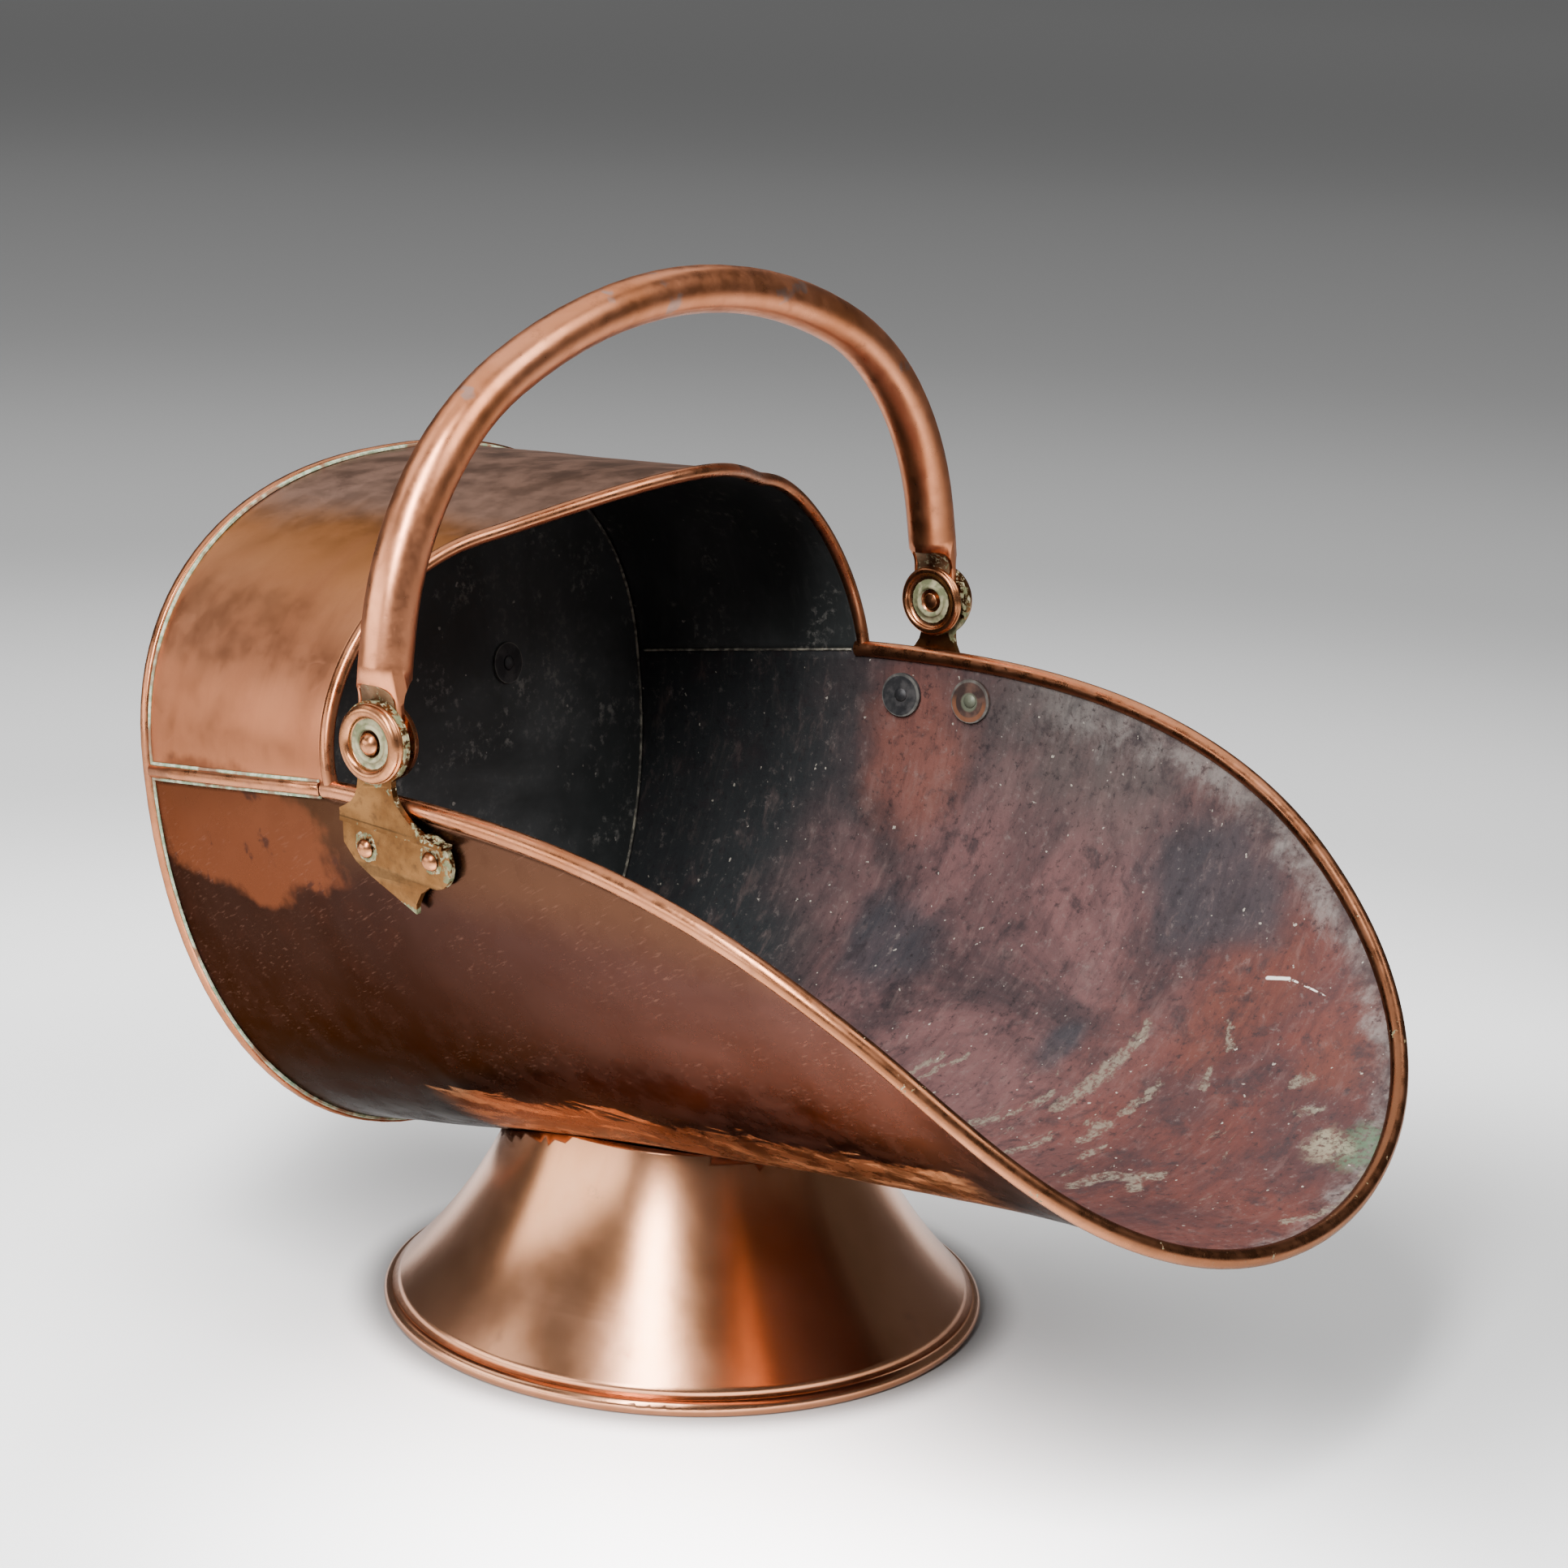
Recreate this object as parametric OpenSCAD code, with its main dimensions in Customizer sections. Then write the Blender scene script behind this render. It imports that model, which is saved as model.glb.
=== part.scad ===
// Helmet coal scuttle: a sheet body with a rounded hood and a long lip, a flared
// round foot, a tubular bail handle on two cast lugs and a grip on the back plate.
// Built about the centre of the foot, then set down so that the origin lies under
// the middle of the whole scuttle. +Z is up, the mouth opens towards -Y.

/* [Body] */
// Gauge of the body, hood and back sheets
sheet_t = 1.2; // [0.9:0.1:1.6]
// Lean of the back plate, away from the mouth
back_lean = 8.95; // [6:0.05:12]
// Height of the belly line at the back plate
belly_back_z = 47.4; // [40:0.1:55]
// Height of the belly line over the centre of the foot
belly_z = 68.8; // [60:0.1:76]
// Height of the lip's tip
lip_z = 97; // [85:0.5:110]
// Distance from the centre of the foot back to the foot of the back plate
back_y = 120.8; // [110:0.1:130]
// Half width of the body at the back plate
back_half_w = 138.8; // [130:0.1:150]
// Greatest half width of the body
belly_half_w = 161.5; // [155:0.1:170]
// Where the body is widest, in front of the centre of the foot
belly_wide_y = 136; // [120:1:150]
// Radius of the lip's curve at its tip
lip_r = 199; // [180:1:220]
// Where the lip starts to flatten, in front of the centre of the foot
lip_flat_y = 195; // [180:1:210]
// Squareness of the back's lower half: 2 is an ellipse
back_square = 2.15; // [2:0.01:2.4]

/* [Mouth] */
// Height of the side seam at the back plate
seam_back_z = 206; // [196:0.5:214]
// Distance of the hood's front corner from the centre of the foot
corner_y = 40; // [34:0.5:46]
// Height of the hood's front corner
corner_z = 222.5; // [216:0.5:228]
// Reach of the lip's tip in front of the centre of the foot
lip_y = 268.5; // [255:0.5:280]
// Outer diameter of the rolled edge round the mouth
mouth_bead_d = 6.6; // [5.6:0.1:8]
// Wall of the rolled edges
bead_wall = 0.9; // [0.7:0.1:1.1]

/* [Hood] */
// Height of the back plate above the side seam, along the plate
back_top_h = 99.7; // [90:0.1:115]
// Squareness of the hood's arch at the back plate
hood_square = 2.3; // [2:0.01:2.6]
// Height of the hood's front edge above the corners
hood_rise = 95.5; // [88:0.1:105]
// Distance of the hood's crown from the centre of the foot
hood_crown_y = 10.2; // [0:0.1:25]
// Outer diameter of the rolled edge of the hood
hood_bead_d = 5.2; // [4.5:0.1:7]

/* [Seams] */
// Width of the seam round the back plate
back_seam_w = 3.8; // [3.2:0.1:5]
// Height of the seam round the back plate over the sheets
back_seam_h = 1.9; // [1.5:0.1:2.6]
// Width of the cover strip along each side seam
side_seam_w = 5; // [4:0.1:6]
// Height of that strip
side_seam_h = 2; // [1.5:0.1:2.6]

/* [Foot] */
// Diameter of the foot over its rolled edge
foot_d = 228; // [215:1:245]
// Outer diameter of the foot's rolled edge
foot_bead_d = 6.2; // [5:0.1:8]
// Wear that gives this edge a flat ring to stand on
foot_wear = 0.3; // [0.2:0.05:0.5]
// Radius of the foot's neck where it nears the belly
neck_r = 67.8; // [60:0.1:76]
// Height at which that radius is taken
neck_z = 71; // [64:0.5:78]
// Radius of the flare's hollow curve
flare_r = 200; // [160:5:400]

/* [Bail handle] */
// Outer diameter of the handle tube over its crown
tube_d = 17.6; // [16:0.1:20]
// Outer diameter of the handle tube down its legs
leg_d = 18.9; // [17:0.1:21]
// Wall of the handle tube
tube_wall = 1.5; // [1.2:0.1:2]
// Position of the pivot behind the centre of the foot
pivot_y = 10.8; // [4:0.1:16]
// Height of the pivot
pivot_z = 246.6; // [244:0.1:252]
// Distance of each tongue's middle plane from the centre
pivot_x = 160.3; // [159.8:0.1:162]
// Thickness of the tongues
tongue_t = 3; // [2.4:0.1:3.6]
// Bend radius of the handle's shoulders
shoulder_r = 107; // [95:1:120]
// Bend radius of the handle's legs
leg_r = 362; // [300:1:420]
// Slope of the crown where the shoulders start
crown_a = 24.4; // [20:0.1:28]
// Slope of the shoulders where the legs start
shoulder_a = 80; // [76:0.5:82]
// Slope of the legs at the pivot
leg_a = 86.1; // [85:0.1:88]
// Lean of the handle at rest, towards the back
bail_lean = 2.7; // [0:0.1:6]

/* [Lugs] */
// Thickness of the cast lugs
lug_t = 2.4; // [2:0.1:3]
// Radius of the lug's round ear
ear_r = 14.6; // [14.2:0.1:15.6]
// Radius of the turned bosses
boss_r = 13.8; // [12.5:0.1:14.1]
// Radius of the pivot rivet
pivot_rivet_r = 3.2; // [2.6:0.05:3.6]
// Radius of the small rivets
rivet_r = 2; // [1.6:0.1:2.4]
// Radius of the washers inside the body
washer_r = 8.8; // [7.6:0.1:9.4]
// Thickness of these washers
washer_t = 1.2; // [0.9:0.1:1.6]

/* [Back handle] */
// Distance of each back handle rivet from the centre
grip_half_w = 57; // [50:0.5:64]
// Height of these rivets
grip_z = 213.5; // [200:0.5:220]
// Outer diameter of the back handle's tube
grip_d = 14; // [12:0.1:16]
// Reach of the back handle behind the plate
grip_reach = 44; // [40:0.5:52]
// Bend radius of the back handle
grip_bend_r = 20; // [16:0.5:24]

/* [Hidden] */
$fn = 64;

// Clearances: pieces soldered or closed on each other, the pivot, flat running faces,
// faces pulled together by a rivet, wires in their rolled edges, and the foot's top
seat_gap = 0.15;
run_gap = 0.05;
side_gap = 0.1;
rivet_gap = 0.02;
wire_gap = 0.35;
foot_gap = 0.5;

copper = "#b0694a";
brass = "#a5814c";
iron = "#4a4441";

mouth_bead_r = mouth_bead_d / 2;
hood_bead_r = hood_bead_d / 2;
foot_bead_r = foot_bead_d / 2;
foot_bead_z = foot_bead_r - foot_wear;
grip_r = grip_d / 2;

// ---- the body's surface ----
// A point of the belly line at y, and the widths and depths of the leaning section there
lean_k = tan(back_lean);
back_drop = belly_z - belly_back_z;
lip_rise = lip_z - belly_z;
belly_curve = (lip_y * back_drop - back_y * lip_rise) / (lip_y * back_y * (lip_y + back_y));
belly_slope = (back_drop - belly_curve * back_y * back_y) / back_y;
square_end_y = -40;
depth_end_y = -60;
function lerp(a, b, t) = a + (b - a) * t;
function unit(v) = v / norm(v);
function clamp01(t) = max(0, min(1, t));
function smooth(t) = t * t * (3 - 2 * t);
function belly_at(y) = belly_z - belly_slope * y - belly_curve * y * y;
function section_y(y, z) =
    let (q = y - lean_k * (z - belly_z), b = 1 + lean_k * belly_slope)
    2 * q / (b + sqrt(b * b + 4 * lean_k * belly_curve * q));
function section_s(y, z) = (z - belly_at(section_y(y, z))) / cos(back_lean);
function half_width(yb) =
    yb > -belly_wide_y
        ? belly_half_w - (belly_half_w - back_half_w)
            * pow((yb + belly_wide_y) / (back_y + belly_wide_y), 2)
        : yb > -lip_flat_y ? belly_half_w
        : belly_half_w + (lip_r - belly_half_w)
            * pow((-yb - lip_flat_y) / (lip_y - lip_flat_y), 2);
function squareness(yb) =
    2 + (back_square - 2) * clamp01((yb - square_end_y) / (back_y - square_end_y));

// The side seam and the mouth, seen from the side
seam_back = [plate_y(seam_back_z), seam_back_z];
corner = [corner_y, corner_z];
lip_tip = [-lip_y, lip_z];
mouth_pull = [corner_y - 161, corner_z + 12.4];
lip_pull = lip_tip + [81, 102.6];
function plate_y(z) = back_y + lean_k * (z - belly_at(back_y));
function bezier(p, t) =
    pow(1 - t, 3) * p[0] + 3 * pow(1 - t, 2) * t * p[1]
    + 3 * (1 - t) * t * t * p[2] + pow(t, 3) * p[3];
corner_yb = section_y(corner[0], corner[1]);
corner_s = section_s(corner[0], corner[1]);
back_s = section_s(seam_back[0], seam_back[1]);
function half_depth(yb) =
    yb > corner_yb
        ? lerp(corner_s, back_s, (yb - corner_yb) / (back_y - corner_yb))
        : half_width(yb) + (corner_s - half_width(corner_yb))
            * smooth(clamp01((yb - depth_end_y) / (corner_yb - depth_end_y)));

// Surface point at an angle round the section, and its outward normal
function power(v, p) = sign(v) * pow(abs(v), p);
function skin(a, yb) =
    let (p = 2 / squareness(yb), s = half_depth(yb) * (1 - power(cos(a), p)))
    [
        half_width(yb) * power(sin(a), p),
        yb + s * sin(back_lean),
        belly_at(yb) + s * cos(back_lean)
    ];
function skin_normal(a, yb) =
    unit(cross(skin(a, yb + 1) - skin(a, yb - 1), skin(a + 0.4, yb) - skin(a - 0.4, yb)));
function angle_by_depth(s, yb) =
    let (q = 1 - s / half_depth(yb))
    q <= 0 ? 90 : acos(pow(min(1, q), squareness(yb) / 2));
function angle_by_width(x, yb) =
    asin(pow(clamp01(x / half_width(yb)), squareness(yb) / 2));

// ---- the edge of the body: the two side seams and the mouth between them ----
// t runs from 0 at the hood's corner to 1 at the lip's tip, and below 0 along the seam
function edge_yz(t) =
    t < 0 ? lerp(corner, seam_back, -t)
    : bezier([corner, mouth_pull, lip_pull, lip_tip], 1 - pow(1 - t, 2));
function edge_station(t) =
    let (q = edge_yz(t), yb = section_y(q[0], q[1]))
    [angle_by_depth(section_s(q[0], q[1]), yb), yb];
function edge_point(t) = let (e = edge_station(t)) skin(e[0], e[1]);
function edge_run(t) =
    t >= 0.999 ? [-1, 0, 0] : unit(edge_point(t + 0.001) - edge_point(t - 0.001));
function edge_out(t) = let (e = edge_station(t)) skin_normal(e[0], e[1]);
function edge_in(t) = unit(cross(edge_out(t), edge_run(t)));

// The sheet's own edge, set in from that line
function inset_station(t, gap) =
    let (
        p = edge_point(t) + edge_in(t) * gap,
        yb = min(section_y(p[1], p[2]), back_y - seat_gap),
        s = section_s(p[1], p[2]),
        a = angle_by_depth(s, yb)
    )
    a > 40 ? [a, yb] : [angle_by_width(p[0], yb), yb];

mouth_steps = 36;
seam_steps = 7;
section_steps = 20;
seam_stop = 0.03;
bead_seat = mouth_bead_r + seat_gap;
sheet_stations = [
    for (i = [seam_steps : -1 : 1]) inset_station(-lerp(seam_stop, 1, i / seam_steps), 2 * seat_gap),
    for (i = [0 : mouth_steps - 1]) inset_station(i / mouth_steps, bead_seat)
];

// ---- closed solids from rings of points ----
function ring_faces(rings, n, closed) = [
    for (i = [0 : rings - (closed ? 1 : 2)], j = [0 : n - 1])
        let (
            k = (i + 1) % rings,
            a = i * n + j,
            b = i * n + (j + 1) % n,
            c = k * n + (j + 1) % n,
            d = k * n + j
        )
        each [[a, b, c], [a, c, d]]
];
// An end cap of a ring whose second half runs back beside its first half
function strip_cap(start, n, front) = [
    for (j = [0 : n / 2 - 2])
        let (
            a = start + j,
            b = start + j + 1,
            c = start + n - 2 - j,
            d = start + n - 1 - j
        )
        each (front ? [[a, c, b], [a, d, c]] : [[a, b, c], [a, c, d]])
];
module loft(rings, closed = false) {
    n = len(rings[0]);
    m = len(rings);
    polyhedron(
        points = [for (r = rings) each r],
        faces = concat(
            ring_faces(m, n, closed),
            closed ? [] : strip_cap(0, n, true),
            closed ? [] : strip_cap((m - 1) * n, n, false)
        ),
        convexity = 6
    );
}
// A ring round a path point: u points to the sheet, v outwards
function tube_ring(p, u, v, r, wall, sides, slot) = concat(
    [for (j = [0 : sides]) let (a = lerp(slot, 360 - slot, j / sides)) p + r * (cos(a) * u + sin(a) * v)],
    [for (j = [sides : -1 : 0]) let (a = lerp(slot, 360 - slot, j / sides))
        p + (r - wall) * (cos(a) * u + sin(a) * v)]
);
function rod_ring(p, u, v, r, sides) =
    [for (j = [0 : sides - 1]) let (a = 360 * (j + 0.5) / sides) p + r * (cos(a) * u + sin(a) * v)];
function flip_x(p) = [-p[0], p[1], p[2]];
function flip_ring(r) = [for (p = r) flip_x(p)];

module at_foot() {
    translate([0, (lip_y + mouth_bead_r - grip_back_y) / 2, 0]) children();
}
module both_sides() {
    children();
    mirror([1, 0, 0]) children();
}
module side(name) {
    at_foot() mirror([name == "left" ? 1 : 0, 0, 0]) children();
}

// ---- sheets ----
module bucket() {
    color(copper) at_foot() difference() {
        loft([
            for (e = sheet_stations) concat(
                [for (j = [-section_steps : section_steps]) let (a = e[0] * j / section_steps)
                    skin(a, e[1]) + skin_normal(a, e[1]) * sheet_t / 2],
                [for (j = [section_steps : -1 : -section_steps]) let (a = e[0] * j / section_steps)
                    skin(a, e[1]) - skin_normal(a, e[1]) * sheet_t / 2]
            )
        ]);
        both_sides() lug_rivet_places() rivet_hole();
    }
}

// The hood is ruled from the arch of the back plate to its own front edge
arch_split = 62;
corner_x = half_width(corner_yb);
hood_shoulder_y = hood_crown_y + 27.8;
hood_shoulder_z = corner_z + hood_rise - 16.4;
hood_side = [
    [corner_x, corner_y, corner_z],
    [corner_x + 4, corner_y + 8.5, corner_z + 30],
    [corner_x - 28, corner_y + 11, corner_z + 70.8],
    [81, hood_shoulder_y, hood_shoulder_z]
];
hood_top = [
    [81, hood_shoulder_y, hood_shoulder_z],
    [62, hood_shoulder_y - 5.2, hood_shoulder_z + 3.5],
    [34, hood_crown_y, corner_z + hood_rise],
    [0, hood_crown_y, corner_z + hood_rise]
];
function arch_point(a, grow = 0) =
    let (
        s = back_s + (back_top_h + grow) * power(sin(a), 2 / hood_square),
        x = (half_width(back_y) + grow) * power(cos(a), 2 / hood_square)
    )
    [x, back_y + s * sin(back_lean), belly_at(back_y) + s * cos(back_lean)];
function hood_edge(a) =
    a > 90 ? flip_x(hood_edge(180 - a))
    : a < arch_split ? bezier(hood_side, a / arch_split)
    : bezier(hood_top, (a - arch_split) / (90 - arch_split));
function hood_point(a, v) =
    let (
        p = lerp(arch_point(a), hood_edge(a), v),
        seam = lerp(seam_back, corner, v),
        swell = half_width(section_y(seam[0], seam[1])) / lerp(back_half_w, corner_x, v)
    )
    [p[0] * swell, p[1], p[2]];
function hood_normal(a, v) =
    let (lo = max(0, a - 0.5), hi = min(180, a + 0.5), w = min(v, 0.98))
    unit(cross(hood_point(hi, v) - hood_point(lo, v), hood_point(a, w + 0.02) - hood_point(a, w)) * -1);
function hood_run(a) = unit(hood_edge(min(180, a + 0.5)) - hood_edge(max(0, a - 0.5)));
function hood_in(a) = unit(cross(hood_run(a), hood_normal(a, 1)));
hood_seat = hood_bead_r + seat_gap;
function hood_v(a, row) =
    let (
        rule = hood_edge(a) - arch_point(a),
        stop = 1 - hood_seat / norm(cross(rule, hood_run(a))),
        start = seat_gap / norm(rule)
    )
    lerp(start, stop, row);
hood_rows = 9;
hood_columns = 48;
module hood() {
    color(copper) at_foot() loft([
        for (i = [0 : hood_rows]) concat(
            [for (j = [0 : hood_columns]) hood_skin(180 * j / hood_columns, i / hood_rows, 1)],
            [for (j = [hood_columns : -1 : 0]) hood_skin(180 * j / hood_columns, i / hood_rows, -1)]
        )
    ]);
}
function hood_skin(a, row, face) =
    let (v = hood_v(a, row)) hood_point(a, v) + face * hood_normal(a, v) * sheet_t / 2;

// ---- back plate and the folded seam round it ----
outline_steps = 48;
function outline_at(i, grow) =
    i <= outline_steps
        ? let (p = 2 / back_square, a = lerp(-90, 90, i / outline_steps))
            [(back_half_w + grow) * power(sin(a), p),
             back_s - (back_s + grow) * power(cos(a), p)]
        : let (p = 2 / hood_square, a = 180 * (i - outline_steps) / outline_steps)
            [(back_half_w + grow) * power(cos(a), p),
             back_s + (back_top_h + grow) * power(sin(a), p)];
module on_plate() {
    at_foot() translate([0, back_y, belly_at(back_y)]) rotate([90 - back_lean, 0, 0]) children();
}
module back_plate() {
    color(copper) on_plate() difference() {
        translate([0, 0, -sheet_t]) linear_extrude(sheet_t)
            polygon([for (i = [0 : 2 * outline_steps - 1]) outline_at(i, sheet_t / 2)]);
        grip_places() cylinder(r = rivet_r + run_gap, h = 4 * sheet_t, center = true);
    }
}
// Section of the seam: [distance in front of the plate's face, distance out]
seam_draft = 0.35;
seam_overhang = 0.4;
seam_front = back_seam_w - sheet_t - seam_overhang;
seam_behind = -sheet_t - seam_overhang;
seam_round = 0.2 * back_seam_w;
function back_seam_ring(i) =
    let (
        base = sheet_t / 2 + seat_gap,
        top = base + back_seam_h,
        side = lerp(base, top, 0.6)
    )
    [
        for (q = [
            [seam_front, base + seam_draft], [seam_front, side], [seam_front - seam_round, top],
            [seam_behind + seam_round, top], [seam_behind, side], [seam_behind, base]
        ])
            let (o = outline_at(i, q[1]))
            [o[0], o[1], q[0]]
    ];
module back_seam() {
    color(copper) on_plate()
        loft([for (i = [0 : 2 * outline_steps - 1]) back_seam_ring(i)], closed = true);
}

// ---- the cover strip along each side seam ----
strip_steps = 6;
strip_start = 1 - (seam_front + 2 * seat_gap) / norm(seam_back - corner);
strip_stop = 0.05;
strip_gap = 0.25;
function strip_ring(t) =
    let (p = edge_point(t), n = edge_out(t), d = edge_in(t), base = sheet_t / 2 + strip_gap)
    [for (q = [[-0.5, 0], [-0.42, 0.55], [-0.22, 0.93], [0.22, 0.93], [0.42, 0.55], [0.5, 0]])
        p + d * q[0] * side_seam_w + n * (base + q[1] * side_seam_h)];
module side_seam(name) {
    color(copper) side(name)
        loft([for (i = [0 : strip_steps]) strip_ring(-lerp(strip_start, strip_stop, i / strip_steps))]);
}

// ---- rolled edges and the wires inside them ----
mouth_stations = [for (i = [0 : mouth_steps]) i / mouth_steps];
mouth_start = 0.004;
roll_slot = 8;
function mouth_path(ring) = concat(
    ring,
    [for (i = [len(ring) - 2 : -1 : 0]) flip_ring(ring[i])]
);
function mouth_rings(r, wall, sides) = mouth_path([
    for (t = mouth_stations)
        let (s = max(t, mouth_start))
        wall > 0
            ? tube_ring(edge_point(s), edge_in(s), edge_out(s), r, wall, sides, roll_slot)
            : rod_ring(edge_point(s), edge_in(s), edge_out(s), r, sides)
]);
module mouth_bead() {
    color(copper) at_foot() loft(mouth_rings(mouth_bead_r, bead_wall, 10));
}
module mouth_wire() {
    color(iron) at_foot() loft(mouth_rings(mouth_bead_r - bead_wall - wire_gap, 0, 8));
}
hood_bead_a = 2.8;
hood_bead_steps = 52;
function hood_bead_angle(i) = lerp(hood_bead_a, 180 - hood_bead_a, i / hood_bead_steps);
module hood_bead() {
    color(copper) at_foot() loft([
        for (i = [0 : hood_bead_steps])
            let (a = hood_bead_angle(i))
            tube_ring(hood_edge(a), hood_in(a), -hood_normal(a, 1), hood_bead_r, bead_wall, 8, roll_slot)
    ]);
}
module hood_wire() {
    color(iron) at_foot() loft([
        for (i = [0 : hood_bead_steps])
            let (a = hood_bead_angle(i))
            rod_ring(hood_edge(a), hood_in(a), -hood_normal(a, 1),
                hood_bead_r - bead_wall - wire_gap, 8)
    ]);
}

// ---- foot ----
foot_bead_c = foot_d / 2 - foot_bead_r;
flare_steps = 14;
flare_top_z = belly_z + 32;
flare_low_z = foot_bead_z + foot_bead_r + seat_gap;
flare_low_r = foot_bead_c;
// The flare is an arc through its lower end and the neck, hollow side outwards
flare_chord = [neck_r - flare_low_r, neck_z - flare_low_z];
flare_mid = [flare_low_r, flare_low_z] + flare_chord / 2;
flare_side = unit([flare_chord[1], -flare_chord[0]]);
flare_centre = flare_mid + flare_side * sqrt(flare_r * flare_r - pow(norm(flare_chord) / 2, 2));
function flare_radius(z) = flare_centre[0] - sqrt(flare_r * flare_r - pow(z - flare_centre[1], 2));
function belly_bend(yb) =
    let (
        a = angle_by_width(neck_r, yb),
        h = half_depth(yb) * (1 - power(cos(a), 2 / squareness(yb))) + belly_curve * neck_r * neck_r
    )
    (neck_r * neck_r + h * h) / (2 * h);
module foot() {
    color(copper) at_foot() difference() {
        rotate_extrude($fn = 128) polygon(concat(
            [for (i = [0 : flare_steps]) let (z = lerp(flare_low_z, flare_top_z, i / flare_steps))
                [flare_radius(z), z]],
            [for (i = [flare_steps : -1 : 0]) let (z = lerp(flare_low_z, flare_top_z, i / flare_steps))
                [flare_radius(z) - sheet_t, z]]
        ));
        belly_cut();
    }
}
// The room of the belly over the foot, a cone laid along the belly line
module belly_cut() {
    drop = sheet_t / 2 + foot_gap;
    slope = atan2(belly_at(-neck_r) - belly_at(neck_r), 2 * neck_r);
    bend_back = belly_bend(neck_r);
    bend_front = belly_bend(-neck_r);
    up = [sin(slope), cos(slope)];
    back_c = [neck_r, belly_at(neck_r)] + (bend_back - drop) * up;
    front_c = [-neck_r, belly_at(-neck_r)] + (bend_front - drop) * up;
    overrun = 0.4;
    start = lerp(back_c, front_c, -overrun);
    run = (front_c - back_c) * (1 + 2 * overrun);
    translate([0, start[0], start[1]]) rotate([90 - atan2(run[1], -run[0]), 0, 0])
        cylinder(
            r1 = lerp(bend_back, bend_front, -overrun),
            r2 = lerp(bend_back, bend_front, 1 + overrun),
            h = norm(run),
            $fn = 180
        );
}
module foot_bead() {
    color(copper) at_foot() difference() {
        rotate_extrude($fn = 128) translate([foot_bead_c, foot_bead_z]) difference() {
            circle(r = foot_bead_r, $fn = 32);
            circle(r = foot_bead_r - bead_wall, $fn = 32);
        }
        translate([0, 0, -foot_bead_d]) cylinder(r = foot_d, h = foot_bead_d);
    }
}
module foot_wire() {
    color(iron) at_foot() rotate_extrude($fn = 128) translate([foot_bead_c, foot_bead_z])
        circle(r = foot_bead_r - bead_wall - wire_gap, $fn = 32);
}

// ---- bail handle ----
crown_r = (pivot_x - shoulder_r * (sin(shoulder_a) - sin(crown_a))
    - leg_r * (sin(leg_a) - sin(shoulder_a))) / sin(crown_a);
crown_h = crown_r * (1 - cos(crown_a)) + shoulder_r * (cos(crown_a) - cos(shoulder_a))
    + leg_r * (cos(shoulder_a) - cos(leg_a));
crown_c = crown_h - crown_r;
shoulder_c = [(crown_r - shoulder_r) * sin(crown_a), crown_c + (crown_r - shoulder_r) * cos(crown_a)];
leg_c = shoulder_c - (leg_r - shoulder_r) * [sin(shoulder_a), cos(shoulder_a)];
scoop_r = 7.5;
scoop_low = ear_r - 1.1;
plug_r = leg_d / 2 - tube_wall - run_gap;
module at_pivot() {
    translate([0, pivot_y, pivot_z]) children();
}
// A bend in the handle's plane from slope a0 to slope a1, about the centre c
module bend(c, r, a0, a1) {
    translate([c[0], 0, c[1]]) rotate([90, 0, 0]) rotate([0, 0, 90 - a1])
        rotate_extrude(angle = a1 - a0, $fn = 256) translate([r, 0]) children();
}
// What is pressed and filed away on each face of the tongue
module scoops() {
    for (face = [-1, 1])
        translate([pivot_x + face * (tongue_t / 2 + scoop_r), 0, 0]) {
            translate([0, 0, scoop_low]) rotate([90, 0, 0])
                cylinder(r = scoop_r, h = 2 * leg_d, center = true, $fn = 96);
            translate([-scoop_r, -leg_d, -2 * leg_d])
                cube([2 * scoop_r, 2 * leg_d, 2 * leg_d + scoop_low]);
        }
}
// The handle's centre line by its slope, and the rings of points round it
crown_steps = 8;
shoulder_steps = 14;
leg_steps = 3;
tube_sides = 16;
half_slopes = concat(
    [for (i = [0 : crown_steps - 1]) crown_a * i / crown_steps],
    [for (i = [0 : shoulder_steps - 1]) lerp(crown_a, shoulder_a, i / shoulder_steps)],
    [for (i = [0 : leg_steps]) lerp(shoulder_a, leg_a, i / leg_steps)]
);
slopes = concat(
    [for (i = [len(half_slopes) - 1 : -1 : 1]) -half_slopes[i]],
    half_slopes
);
function handle_at(a) =
    abs(a) < crown_a ? [crown_r * sin(a), 0, crown_c + crown_r * cos(a)]
    : abs(a) < shoulder_a
        ? [sign(a) * shoulder_c[0] + shoulder_r * sin(a), 0, shoulder_c[1] + shoulder_r * cos(a)]
        : [sign(a) * leg_c[0] + leg_r * sin(a), 0, leg_c[1] + leg_r * cos(a)];
// The tube widens from the crown to the legs
swell_from = 30;
swell_to = 55;
function tube_at(a) =
    lerp(tube_d, leg_d, smooth(clamp01((abs(a) - swell_from) / (swell_to - swell_from)))) / 2;
function handle_rings(wall) = [
    for (a = slopes)
        let (r = wall > 0 ? (tube_at(a) - wall) / cos(180 / tube_sides) : tube_at(a))
        rod_ring(handle_at(a), [sin(a), 0, cos(a)], [0, 1, 0], r, tube_sides)
];
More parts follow.
